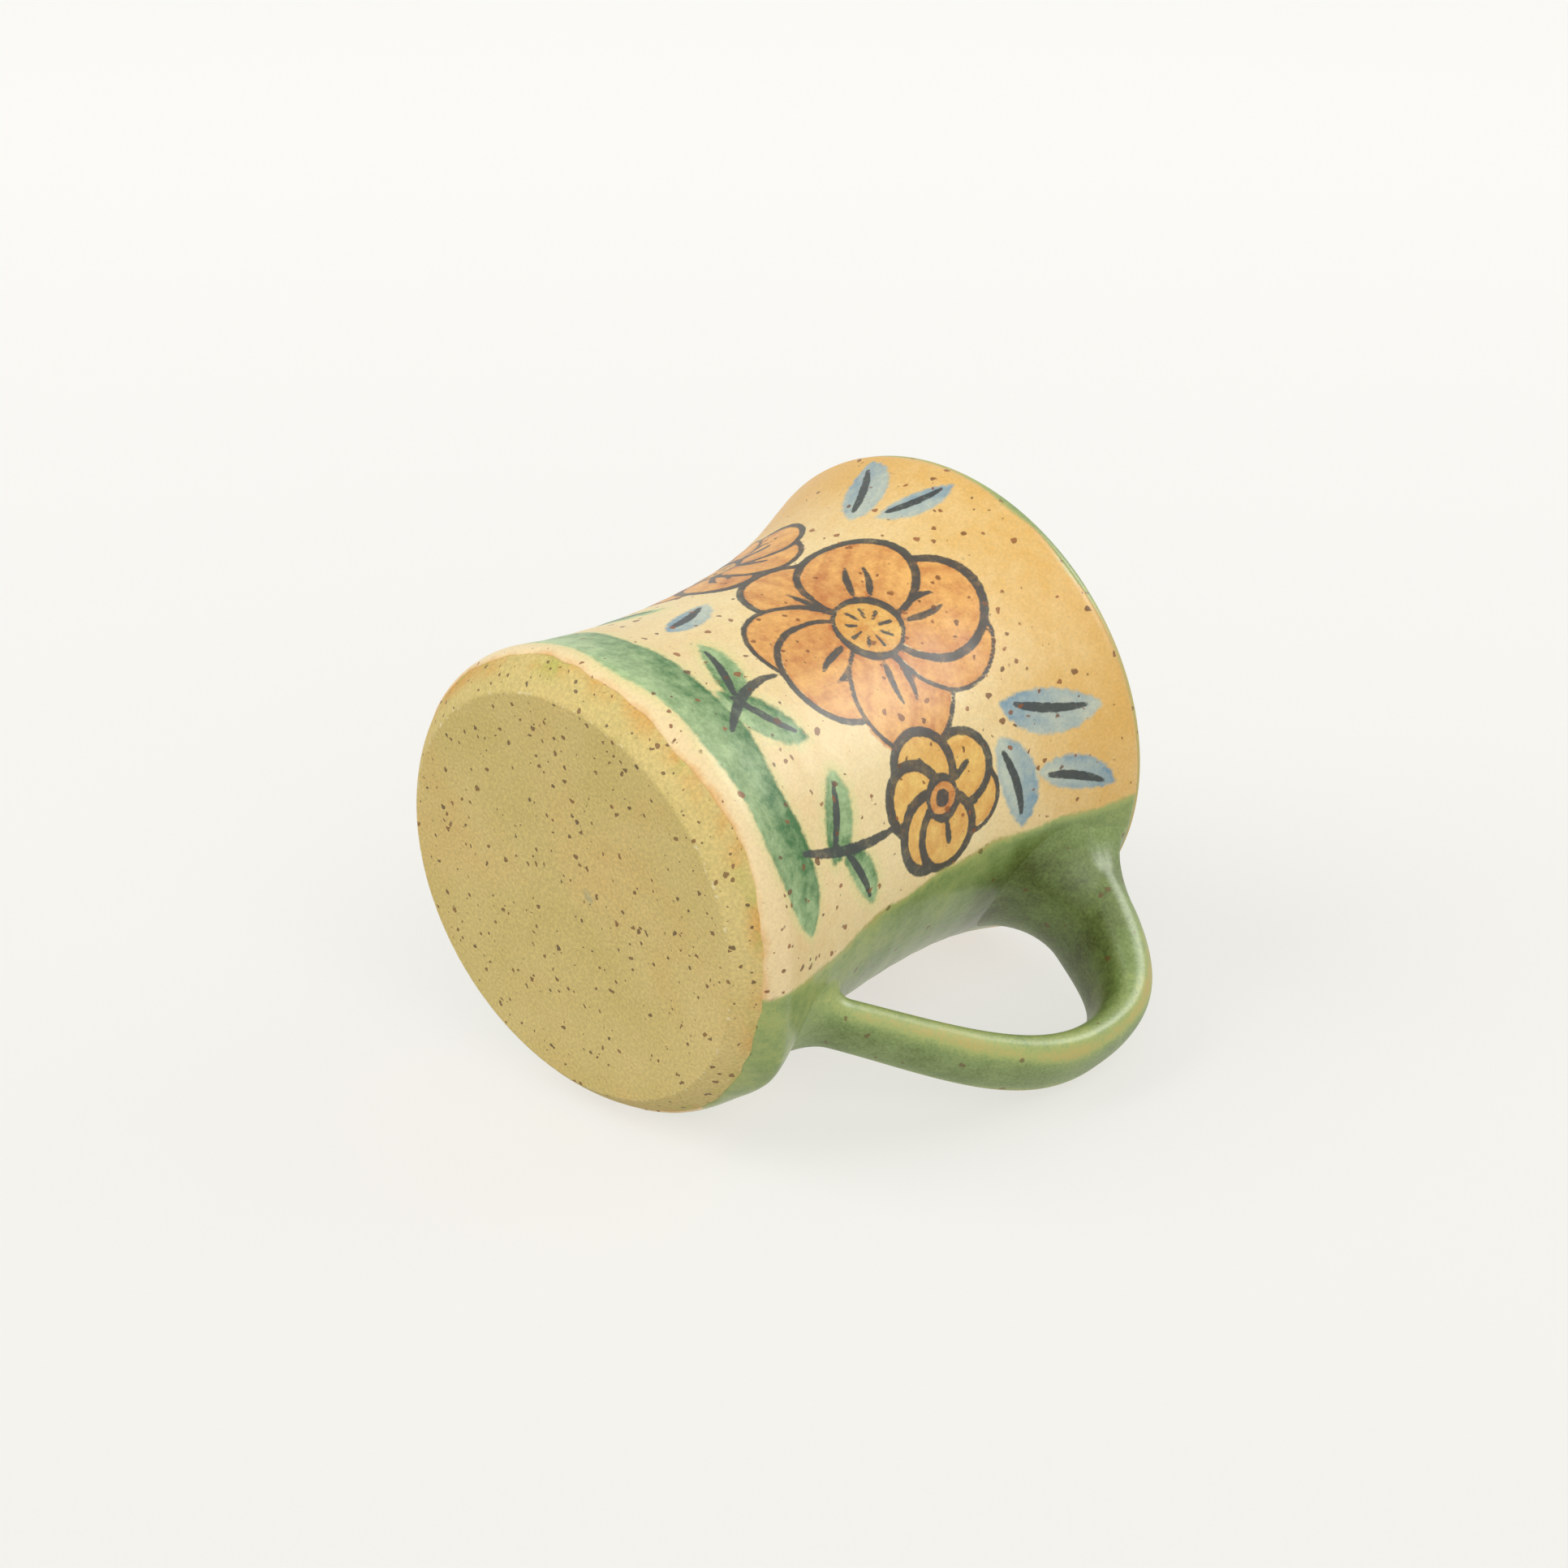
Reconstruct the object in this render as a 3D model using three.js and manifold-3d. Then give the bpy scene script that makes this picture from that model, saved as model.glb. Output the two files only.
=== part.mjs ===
// A stoneware mug: a thrown cup with a flat foot, a slim waist and a flared lip, and a pulled strap handle.
// Millimetres, +Z up. The origin is the centre of the foot on the table, and the handle points along +X.

import * as THREE from "three";
import { mergeGeometries, mergeVertices } from "three/addons/utils/BufferGeometryUtils.js";
import Module from "manifold-3d";

// The cup's outside, measured on the clay
const HEIGHT = 94.5; // table to the top of the lip
const FOOT_FACE_RADIUS = 36; // flat face that the cup stands on
const FOOT_BEVEL_ANGLE = 36; // degrees that the bevel rises from the table
const FOOT_BEVEL_EASE = 2.7; // how far the bevel keeps to that angle
const BELLY_RADIUS = 41; // widest part of the foot
const BELLY_HEIGHT = 8; // table to the widest part of the foot
const BELLY_EASE_DOWN = 3.5; // how far the wall stays upright below it
const BELLY_EASE_UP = 1; // and above it
const WAIST_RADIUS = 36.35; // slimmest part of the wall
const WAIST_HEIGHT = 48; // table to the waist
const WAIST_EASE_DOWN = 24; // how far the wall stays upright below the waist
const WAIST_EASE_UP = 20; // and above it
const RIM_RADIUS = 44.4; // outermost part of the lip
const FLARE_ANGLE = 20; // degrees that the wall leans out where it meets the lip
const FLARE_EASE = 15; // how far the wall keeps that lean
const LIP_ROUNDING = 1.9; // radius over the top of the lip

// The cup's inside
const FLOOR_THICKNESS = 6.5; // clay under the inside
const FLOOR_CORNER = 9; // radius between the floor and the wall
const FOOT_WALL = 7; // wall thickness above that corner, taken from the belly's radius
const WAIST_WALL = 4.2; // wall thickness at the waist
const CORNER_EASE = 10; // how far the inside stays upright above the floor's corner

// Glaze coats
const WALL_COAT = 0.4; // clear glaze on the painted wall
const LINER_COAT = 0.5; // green glaze inside and over the lip
const COAT_GAP = 0.05; // clearance between the clay and its coat
const GLAZE_LINE = 5; // bare foot below the wall's coat
const LINER_WRAP = 10; // degrees above the lip's outermost line where the liner ends
const COAT_SPACING = 0.5; // between the wall's coat and the liner
const STRIP_MARGIN = 2; // bare strip beside the upper joint, at each side

// The handle's centre line
const UPPER_ROOT_DROP = 9.4; // top of the lip to the upper root
const UPPER_ROOT_ANGLE = 14; // degrees below level where the strap leaves the wall
const UPPER_ROOT_EASE = 18; // how far the strap keeps to that angle
const BEND_STANDOFF = 23.7; // lip to the strap's furthest point
const BEND_DROP = 21.8; // upper root to the furthest point
const BEND_EASE_UP = 12.8; // how far the strap stays upright above the furthest point
const BEND_EASE_DOWN = 17; // and below it
const LOWER_ROOT_HEIGHT = 22; // table to the lower root
const LOWER_ROOT_ANGLE = 46; // degrees from level where the strap comes back to the wall
const LOWER_ROOT_EASE = 20; // how far the strap keeps to that angle
const ROOT_DEPTH = 8; // how far each end is drawn into the cup before it is cut to the wall

// The strap's section, across and through
const UPPER_WIDTH = 22;
const UPPER_THICKNESS = 11;
const BEND_WIDTH = 14;
const BEND_THICKNESS = 6.4;
const LOWER_WIDTH = 11.5;
const LOWER_THICKNESS = 5.8;
const SECTION_SQUARENESS = 2.4; // 2 is an ellipse, more is squarer

// The clay coils worked into the seams
const COIL_SPREAD = 3; // how far a coil spreads over the wall
const COIL_LENGTH = 6; // how far it climbs the strap
const COIL_EDGE = 0.8; // its thickness where it ends on the strap
const JOINT_GAP = 0.3; // between the cup, the strap and the coils

// Fineness of the facets
const TURN_STEPS = 32;
const CURVE_STEPS = 6;
const ROUNDING_STEPS = 4;
const STRAP_STEPS = 24;
const SECTION_STEPS = 16;
const COIL_STEPS = 5;

const wasm = await Module();
wasm.setup();

const degrees = THREE.MathUtils.degToRad;

function point(radius, height) {
  return new THREE.Vector2(radius, height);
}

// A point at a distance from another, in a direction given in degrees from level.
function away(from, angle, distance) {
  return point(
    from.x + distance * Math.cos(degrees(angle)),
    from.y + distance * Math.sin(degrees(angle)),
  );
}

function curve(from, fromControl, toControl, to, steps = CURVE_STEPS) {
  return new THREE.CubicBezierCurve(from, fromControl, toControl, to).getPoints(steps);
}

// A point on the lip's rounding, at an angle in degrees above level as seen from outside.
function lipPoint(angle) {
  return away(point(RIM_RADIUS - LIP_ROUNDING, HEIGHT - LIP_ROUNDING), angle, LIP_ROUNDING);
}

function lipArc(start, end) {
  const angles = Array.from({ length: ROUNDING_STEPS + 1 }, (_, i) => i / ROUNDING_STEPS);
  return angles.map((share) => lipPoint(THREE.MathUtils.lerp(start, end, share)));
}

// The clay's outside from the foot face to where the wall meets the lip.
function outerLine() {
  const face = point(FOOT_FACE_RADIUS, 0);
  const belly = point(BELLY_RADIUS, BELLY_HEIGHT);
  const waist = point(WAIST_RADIUS, WAIST_HEIGHT);
  const lip = lipPoint(-FLARE_ANGLE);
  return [
    ...curve(
      face, away(face, FOOT_BEVEL_ANGLE, FOOT_BEVEL_EASE), away(belly, -90, BELLY_EASE_DOWN), belly,
      ROUNDING_STEPS,
    ),
    ...curve(
      belly, away(belly, 90, BELLY_EASE_UP), away(waist, -90, WAIST_EASE_DOWN), waist,
    ).slice(1),
    ...curve(
      waist, away(waist, 90, WAIST_EASE_UP), away(lip, -90 - FLARE_ANGLE, FLARE_EASE), lip,
    ).slice(1),
  ];
}

// The clay's inside from the middle of the floor to where the wall meets the lip.
function innerLine() {
  const cornerRadius = BELLY_RADIUS - FOOT_WALL;
  const corner = point(cornerRadius, FLOOR_THICKNESS + FLOOR_CORNER);
  const waist = point(WAIST_RADIUS - WAIST_WALL, WAIST_HEIGHT);
  const lip = lipPoint(180 - FLARE_ANGLE);
  const round = new THREE.EllipseCurve(
    cornerRadius - FLOOR_CORNER, corner.y, FLOOR_CORNER, FLOOR_CORNER, degrees(-90), 0, false,
  );
  return [
    point(0, FLOOR_THICKNESS),
    ...round.getPoints(ROUNDING_STEPS),
    ...curve(
      corner, away(corner, 90, CORNER_EASE), away(waist, -90, CORNER_EASE), waist,
    ).slice(1),
    ...curve(
      waist, away(waist, 90, WAIST_EASE_UP), away(lip, -90 - FLARE_ANGLE, FLARE_EASE), lip,
    ).slice(1),
  ];
}

// A line moved sideways, to the right of its direction. A point on the axis stays on the axis.
function offset(line, distance) {
  return line.map((p, i) => {
    const before = line[Math.max(i - 1, 0)];
    const after = line[Math.min(i + 1, line.length - 1)];
    const along = after.clone().sub(before).normalize();
    const x = p.x === 0 ? 0 : p.x + along.y * distance;
    const y = p.x === 0 ? p.y - distance : p.y - along.x * distance;
    return point(x, y);
  });
}

// The clay's outside at a height, on the straight pieces of the line.
function wallRadius(height) {
  const line = outerLine();
  const next = line.findIndex((p) => p.y > height);
  const low = line[next - 1];
  const high = line[next];
  return THREE.MathUtils.mapLinear(height, low.y, high.y, low.x, high.x);
}

function onlyPositions(geometry) {
  geometry.deleteAttribute("normal");
  geometry.deleteAttribute("uv");
  return geometry;
}

function revolve(line) {
  return new THREE.LatheGeometry(line, TURN_STEPS).rotateX(Math.PI / 2);
}

// A closed outline turned part of the way round the axis, with a flat face at each end.
function revolvePart(outline, start, length, steps) {
  const side = new THREE.LatheGeometry([...outline, outline[0]], steps, start, length);
  const firstEnd = new THREE.ShapeGeometry(new THREE.Shape(outline)).rotateY(start - Math.PI / 2);
  const lastEnd = new THREE.ShapeGeometry(new THREE.Shape(outline)).rotateY(start + length - Math.PI / 2);
  lastEnd.setIndex([...lastEnd.index.array].reverse());
  const all = mergeGeometries([side, firstEnd, lastEnd].map(onlyPositions));
  return mergeVertices(all).rotateX(Math.PI / 2);
}

// The handle's centre line, as points with the direction that the strap runs in and its half sizes.
function strapStations() {
  const upperHeight = HEIGHT - UPPER_ROOT_DROP;
  const upper = point(wallRadius(upperHeight), upperHeight);
  const bend = point(RIM_RADIUS + BEND_STANDOFF, upperHeight - BEND_DROP);
  const lower = point(wallRadius(LOWER_ROOT_HEIGHT), LOWER_ROOT_HEIGHT);
  const line = new THREE.CurvePath();
  line.add(new THREE.LineCurve(away(upper, 180, ROOT_DEPTH), upper));
  line.add(new THREE.CubicBezierCurve(
    upper, away(upper, -UPPER_ROOT_ANGLE, UPPER_ROOT_EASE), away(bend, 90, BEND_EASE_UP), bend,
  ));
  line.add(new THREE.CubicBezierCurve(
    bend, away(bend, -90, BEND_EASE_DOWN), away(lower, LOWER_ROOT_ANGLE, LOWER_ROOT_EASE), lower,
  ));
  line.add(new THREE.LineCurve(lower, away(lower, 180, ROOT_DEPTH)));

  const [upperAt, bendAt, lowerAt, end] = line.getCurveLengths();
  function size(atUpper, atBend, atLower, at) {
    if (at < bendAt) {
      const share = THREE.MathUtils.smoothstep(at, upperAt, bendAt);
      return THREE.MathUtils.lerp(atUpper, atBend, share) / 2;
    }
    const share = THREE.MathUtils.smoothstep(at, bendAt, lowerAt);
    return THREE.MathUtils.lerp(atBend, atLower, share) / 2;
  }
  function station(at) {
    return {
      center: line.getPoint(at / end),
      along: line.getTangent(at / end),
      halfWidth: size(UPPER_WIDTH, BEND_WIDTH, LOWER_WIDTH, at),
      halfThickness: size(UPPER_THICKNESS, BEND_THICKNESS, LOWER_THICKNESS, at),
    };
  }
  return { station, upperAt, lowerAt, end };
}

// One ring of a strap's skin: an oval across the direction that the strap runs in.
function sectionRing({ center, along, halfWidth, halfThickness }, grow) {
  const power = 2 / SECTION_SQUARENESS;
  const ring = [];
  for (let i = 0; i < SECTION_STEPS; i += 1) {
    const angle = (2 * Math.PI * i) / SECTION_STEPS;
    const across = Math.sign(Math.cos(angle)) * Math.abs(Math.cos(angle)) ** power * (halfWidth + grow);
    const through = Math.sign(Math.sin(angle)) * Math.abs(Math.sin(angle)) ** power * (halfThickness + grow);
    ring.push(center.x - along.y * through, across, center.y + along.x * through);
  }
  return ring;
}

// A closed skin over rings of equal length, with a flat face at each end.
function loft(rings) {
  const count = SECTION_STEPS;
  const index = [];
  for (let r = 0; r + 1 < rings.length; r += 1) {
    for (let i = 0; i < count; i += 1) {
      const a = r * count + i;
      const b = r * count + ((i + 1) % count);
      index.push(a, b, a + count, b, b + count, a + count);
    }
  }
  const last = (rings.length - 1) * count;
  for (let i = 1; i + 1 < count; i += 1) {
    index.push(0, i + 1, i);
    index.push(last, last + i, last + i + 1);
  }
  const geometry = new THREE.BufferGeometry();
  geometry.setAttribute("position", new THREE.Float32BufferAttribute(rings.flat(), 3));
  return geometry.setIndex(index);
}

function strap(grow) {
  const { station, end } = strapStations();
  const rings = [];
  for (let i = 0; i <= STRAP_STEPS; i += 1) {
    rings.push(sectionRing(station(end * (i / STRAP_STEPS)), grow));
  }
  return loft(rings);
}

// A coil's outside: a hollow curve from its edge on the strap to its full spread on the wall, and on to
// the strap's own tip inside the cup.
function coil(root, tip) {
  const { station } = strapStations();
  const towardsStrap = Math.sign(root - tip);
  const rings = [sectionRing(station(tip), COIL_SPREAD)];
  for (let i = 0; i <= COIL_STEPS; i += 1) {
    const climb = i / COIL_STEPS;
    const hollow = 1 - Math.sqrt(1 - (1 - climb) ** 2);
    const grow = THREE.MathUtils.lerp(COIL_EDGE, COIL_SPREAD, hollow);
    rings.push(sectionRing(station(root + towardsStrap * climb * COIL_LENGTH), grow));
  }
  return loft(towardsStrap > 0 ? rings : rings.reverse());
}

function toSolid(geometry) {
  const merged = mergeVertices(onlyPositions(geometry.clone()));
  const vertProperties = new Float32Array(merged.attributes.position.array);
  const triVerts = new Uint32Array(merged.index.array);
  return new wasm.Manifold(new wasm.Mesh({ numProp: 3, vertProperties, triVerts }));
}

function toGeometry(solid) {
  const { vertProperties, triVerts } = solid.getMesh();
  const geometry = new THREE.BufferGeometry();
  geometry.setAttribute("position", new THREE.Float32BufferAttribute(vertProperties, 3));
  return geometry.setIndex(new THREE.Uint32BufferAttribute(triVerts, 1));
}

// What the handle and the coils stop short of: the cup with its lip's coat, and the joint gap round it.
function cupEnvelope() {
  const wall = offset(outerLine(), JOINT_GAP);
  const lip = offset(lipArc(0, 90), JOINT_GAP + COAT_GAP + LINER_COAT);
  return toSolid(revolve([point(0, wall[0].y), ...wall, ...lip, point(0, lip.at(-1).y)]));
}

function thrownBody() {
  const bareLip = [lipPoint(0), lipPoint(LINER_WRAP)];
  const coatedLip = lipArc(LINER_WRAP, 180 - FLARE_ANGLE).slice(1, -1);
  return revolve([point(0, 0), ...outerLine(), ...bareLip, ...coatedLip, ...innerLine().reverse()]);
}

function linerGlaze() {
  const clay = [...innerLine(), ...lipArc(180 - FLARE_ANGLE, LINER_WRAP).slice(1)];
  const under = offset(clay, -COAT_GAP);
  const over = offset(clay, -COAT_GAP - LINER_COAT);
  return revolve([...under, ...over.reverse()]);
}

function wallGlaze() {
  const stop = lipPoint(LINER_WRAP).y - COAT_SPACING;
  const wall = outerLine();
  const clay = [
    point(wallRadius(GLAZE_LINE), GLAZE_LINE),
    ...wall.filter((p) => p.y > GLAZE_LINE && p.y < stop),
  ];
  const under = offset(clay, COAT_GAP);
  const over = offset(clay, COAT_GAP + WALL_COAT);
  const step = (2 * Math.PI) / TURN_STEPS;
  const bare = (UPPER_WIDTH / 2 + COIL_SPREAD + STRIP_MARGIN) / wallRadius(HEIGHT - UPPER_ROOT_DROP);
  const bareSteps = Math.ceil(bare / step);
  const start = Math.PI / 2 + bareSteps * step;
  const steps = TURN_STEPS - 2 * bareSteps;
  return revolvePart([...over, ...under.reverse()], start, steps * step, steps);
}

function handle() {
  return toGeometry(toSolid(strap(0)).subtract(cupEnvelope()));
}

function jointCoil(root, tip) {
  const clear = toSolid(strap(JOINT_GAP)).add(cupEnvelope());
  return toGeometry(toSolid(coil(root, tip)).subtract(clear));
}

function piece(name, geometry, color, roughness) {
  const material = new THREE.MeshStandardMaterial({ color, roughness, metalness: 0 });
  const mesh = new THREE.Mesh(geometry, material);
  mesh.name = name;
  return mesh;
}

const CLAY = 0xc4b46e;
const GREEN_GLAZE = 0x7d9a5e;
const CLEAR_GLAZE = 0xefd9a6;

const { upperAt, lowerAt, end } = strapStations();
const mug = new THREE.Group();
mug.add(
  piece("thrown_body", thrownBody(), CLAY, 0.7),
  piece("wall_glaze", wallGlaze(), CLEAR_GLAZE, 0.3),
  piece("liner_glaze", linerGlaze(), GREEN_GLAZE, 0.3),
  piece("handle", handle(), GREEN_GLAZE, 0.35),
  piece("upper_joint_coil", jointCoil(upperAt, 0), GREEN_GLAZE, 0.35),
  piece("lower_joint_coil", jointCoil(lowerAt, end), GREEN_GLAZE, 0.35),
);

export default mug;
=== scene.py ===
# A hand-made stoneware mug, lying on its side on a pale floor. The part stands upright in its own frame:
# the foot is at the origin, the lip is up and the handle points along X. Sizes are in millimetres.
import math

import bpy
import numpy as np
from mathutils import Matrix, Vector
from mathutils.bvhtree import BVHTree


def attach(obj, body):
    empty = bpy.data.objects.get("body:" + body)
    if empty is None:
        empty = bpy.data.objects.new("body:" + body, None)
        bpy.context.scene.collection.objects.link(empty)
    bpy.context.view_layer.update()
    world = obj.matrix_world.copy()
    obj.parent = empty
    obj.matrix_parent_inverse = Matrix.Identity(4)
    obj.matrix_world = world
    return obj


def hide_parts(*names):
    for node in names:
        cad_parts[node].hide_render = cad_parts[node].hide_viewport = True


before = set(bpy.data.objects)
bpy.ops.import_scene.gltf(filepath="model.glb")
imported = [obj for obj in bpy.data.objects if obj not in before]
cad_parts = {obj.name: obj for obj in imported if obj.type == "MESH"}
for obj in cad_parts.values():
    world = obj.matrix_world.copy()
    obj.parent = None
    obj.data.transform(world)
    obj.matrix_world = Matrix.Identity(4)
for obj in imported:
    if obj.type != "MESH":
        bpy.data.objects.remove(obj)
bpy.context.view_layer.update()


# The thrown cup. Buff stoneware with iron grit in it, thrown on the wheel in one piece. The foot is turned
# to a bevel and wiped with a sponge, and the base is left bare, dished a little so that it stands steady.
MM = 0.001
HEIGHT = 94.5
FOOT_RADIUS = 36.0
BASE_DISH = 0.15
DISH_RADIUS = 34.0
BEVEL_AIM = (38.18, 1.59)
BELLY_RADIUS = 41.0
BELLY_HEIGHT = 8.0
BELLY_EASES = (3.5, 1.0)
WAIST_RADIUS = 36.35
WAIST_HEIGHT = 48.0
WAIST_EASES = (24.0, 20.0)
WALL_THICKNESS = 4.2
INSIDE_EASES = (10.0, 20.0)
FLOOR_HEIGHT = 6.5
FLOOR_CORNER = 9.0
CORNER_RADIUS = 34.0
CORNER_EASE = 10.0
RIM_RADIUS = 44.4
LIP_ROUNDING = 1.9
FLARE = math.radians(20)
FLARE_EASE = 15.0
WAVER = 0.16
SEED = 7


def swept(start, leave, arrive, end, count):
    """Points on a curve that sets off from start towards leave and comes in to end from arrive."""
    share = np.linspace(0, 1, count)[:, None]
    rest = 1 - share
    start, leave, arrive, end = (np.array(p, float) for p in (start, leave, arrive, end))
    return rest**3 * start + 3 * share * rest**2 * leave + 3 * share**2 * rest * arrive + share**3 * end


def lip(angle, coat=0.0):
    """Radius and height on the lip's rounding, at an angle above level as seen from outside."""
    reach = LIP_ROUNDING + coat
    return np.array([
        RIM_RADIUS - LIP_ROUNDING + reach * math.cos(angle),
        HEIGHT - LIP_ROUNDING + reach * math.sin(angle),
    ])


upright = np.array([0.0, 1.0])
flare_back = FLARE_EASE * np.array([math.sin(FLARE), math.cos(FLARE)])
belly = np.array([BELLY_RADIUS, BELLY_HEIGHT])
waist = np.array([WAIST_RADIUS, WAIST_HEIGHT])
below_belly, above_belly = belly - BELLY_EASES[0] * upright, belly + BELLY_EASES[1] * upright
below_waist, above_waist = waist - WAIST_EASES[0] * upright, waist + WAIST_EASES[1] * upright
outside = np.vstack([
    swept((FOOT_RADIUS, 0), BEVEL_AIM, below_belly, belly, 16),
    swept(belly, above_belly, below_waist, waist, 44)[1:],
    swept(waist, above_waist, lip(-FLARE) - flare_back, lip(-FLARE), 48)[1:],
])
over_lip = np.array([lip(angle) for angle in np.linspace(-FLARE, math.pi - FLARE, 25)])
slim = waist - (WALL_THICKNESS, 0)
below_slim, above_slim = slim - INSIDE_EASES[0] * upright, slim + INSIDE_EASES[1] * upright
corner_top = np.array([CORNER_RADIUS, FLOOR_HEIGHT + FLOOR_CORNER])
corner_turn = np.linspace(0, math.pi / 2, 12)[:, None]
corner_round = FLOOR_CORNER * np.hstack([np.cos(corner_turn) - 1, -np.sin(corner_turn)])
lip_inside = lip(math.pi - FLARE)
inside = np.vstack([
    swept(lip_inside, lip_inside - flare_back, above_slim, slim, 40),
    swept(slim, below_slim, corner_top + CORNER_EASE * upright, corner_top, 24)[1:],
    (corner_top + corner_round)[1:],
    [(radius, FLOOR_HEIGHT) for radius in (22, 18, 13, 8, 4, 0)],
])
base_radii = np.array([0, 5, 10, 15, 20, 25, 29, 32, 34, 35.2, 35.8])
base = np.column_stack([base_radii, BASE_DISH * np.clip(1 - (base_radii / DISH_RADIUS) ** 2, 0, 1)])


def wall_radius(height):
    """The bare wall's outer radius at a height."""
    return np.interp(height, outside[:, 1], outside[:, 0])


def add(tree, kind, sockets=None, **settings):
    """Adds a node with its settings, and gives each named socket a value or a link. Returns its outputs."""
    made = tree.nodes.new(kind)
    for name, value in settings.items():
        setattr(made, name, value)
    for name, value in (sockets or {}).items():
        if isinstance(value, bpy.types.NodeSocket):
            tree.links.new(value, made.inputs[name])
        else:
            made.inputs[name].default_value = value
    return made.outputs


def linear(hexa):
    """An sRGB colour such as "d9b36c" as the linear numbers that a shader takes."""
    shares = [int(hexa[i:i + 2], 16) / 255 for i in (0, 2, 4)]
    return (*[s / 12.92 if s <= 0.04045 else ((s + 0.055) / 1.055) ** 2.4 for s in shares], 1.0)


# The wheel: a profile line turned about the axis. Wet clay never runs quite true, so the radius wavers
# from place to place and carries the faint spiral of the thrower's fingers, both less towards the lip.
wheel = bpy.data.node_groups.new("thrown_on_the_wheel", "GeometryNodeTree")
wheel.is_modifier = True
wheel_inputs = {}
for label, kind in (
    ("Profile", "NodeSocketGeometry"),
    ("Columns", "NodeSocketInt"),
    ("Waver", "NodeSocketFloat"),
    ("Waver Size", "NodeSocketFloat"),
    ("Finger Spacing", "NodeSocketFloat"),
    ("Finger Depth", "NodeSocketFloat"),
    ("True Above", "NodeSocketFloat"),
    ("Seed", "NodeSocketInt"),
    ("Material", "NodeSocketMaterial"),
):
    wheel_inputs[label] = wheel.interface.new_socket(label, in_out="INPUT", socket_type=kind).identifier
wheel.interface.new_socket("Piece", in_out="OUTPUT", socket_type="NodeSocketGeometry")
asked = add(wheel, "NodeGroupInput")
rows = add(wheel, "GeometryNodeAttributeDomainSize", {"Geometry": asked["Profile"]})["Point Count"]
edges = add(wheel, "ShaderNodeMath", {0: asked["Columns"], 1: 1.0}, operation="ADD")[0]
sheet = add(wheel, "GeometryNodeMeshGrid", {"Vertices X": edges, "Vertices Y": rows})["Mesh"]
number = add(wheel, "GeometryNodeInputIndex")[0]
row = add(wheel, "ShaderNodeMath", {0: number, 1: rows}, operation="MODULO")[0]
column = add(wheel, "ShaderNodeMath", {0: number, 1: rows}, operation="DIVIDE")[0]
column = add(wheel, "ShaderNodeMath", {0: column}, operation="FLOOR")[0]
turn = add(wheel, "ShaderNodeMath", {0: column, 1: asked["Columns"]}, operation="DIVIDE")[0]
turn = add(wheel, "ShaderNodeMath", {0: turn, 1: 2 * math.pi}, operation="MULTIPLY")[0]
here = add(wheel, "GeometryNodeInputPosition")[0]
drawn = add(
    wheel, "GeometryNodeSampleIndex", {"Geometry": asked["Profile"], "Value": here, "Index": row},
    data_type="FLOAT_VECTOR", domain="POINT",
)[0]
turned_to = add(
    wheel, "ShaderNodeVectorRotate", {"Vector": drawn, "Angle": turn}, rotation_type="Z_AXIS",
)[0]
outwards = add(wheel, "ShaderNodeVectorMath", {0: turned_to, 1: (1.0, 1.0, 0.0)}, operation="MULTIPLY")[0]
outwards = add(wheel, "ShaderNodeVectorMath", {0: outwards}, operation="NORMALIZE")[0]
height = add(wheel, "ShaderNodeSeparateXYZ", {0: turned_to})["Z"]
patch = add(wheel, "ShaderNodeMath", {0: 1.0, 1: asked["Waver Size"]}, operation="DIVIDE")[0]
waver = add(
    wheel, "ShaderNodeTexNoise",
    {"Vector": turned_to, "W": asked["Seed"], "Scale": patch, "Detail": 1.0}, noise_dimensions="4D",
)["Fac"]
waver = add(wheel, "ShaderNodeMath", {0: waver, 1: 0.5}, operation="SUBTRACT")[0]
waver = add(wheel, "ShaderNodeMath", {0: waver, 1: asked["Waver"]}, operation="MULTIPLY")[0]
finger = add(wheel, "ShaderNodeMath", {0: height, 1: asked["Finger Spacing"]}, operation="DIVIDE")[0]
finger = add(wheel, "ShaderNodeMath", {0: finger, 1: 2 * math.pi, 2: turn}, operation="MULTIPLY_ADD")[0]
finger = add(wheel, "ShaderNodeMath", {0: finger}, operation="SINE")[0]
out_of_true = add(
    wheel, "ShaderNodeMath", {0: finger, 1: asked["Finger Depth"], 2: waver}, operation="MULTIPLY_ADD",
)[0]
calm = add(wheel, "ShaderNodeMath", {0: asked["True Above"], 1: 25 * MM}, operation="SUBTRACT")[0]
calm = add(
    wheel, "ShaderNodeMapRange",
    {"Value": height, "From Min": calm, "From Max": asked["True Above"], "To Min": 1.0, "To Max": 0.0},
    interpolation_type="SMOOTHSTEP",
)["Result"]
out_of_true = add(wheel, "ShaderNodeMath", {0: out_of_true, 1: calm}, operation="MULTIPLY")[0]
shift = add(wheel, "ShaderNodeVectorMath", {0: outwards, "Scale": out_of_true}, operation="SCALE")[0]
thrown = add(
    wheel, "GeometryNodeSetPosition", {"Geometry": sheet, "Position": turned_to, "Offset": shift},
)[0]
thrown = add(wheel, "GeometryNodeMergeByDistance", {"Geometry": thrown, "Distance": 0.000002})[0]
thrown = add(wheel, "GeometryNodeSetShadeSmooth", {"Geometry": thrown})[0]
thrown = add(wheel, "GeometryNodeRealizeInstances", {"Geometry": thrown})[0]
thrown = add(wheel, "GeometryNodeSetMaterial", {"Geometry": thrown, "Material": asked["Material"]})[0]
add(wheel, "NodeGroupOutput", {"Piece": thrown})


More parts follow.
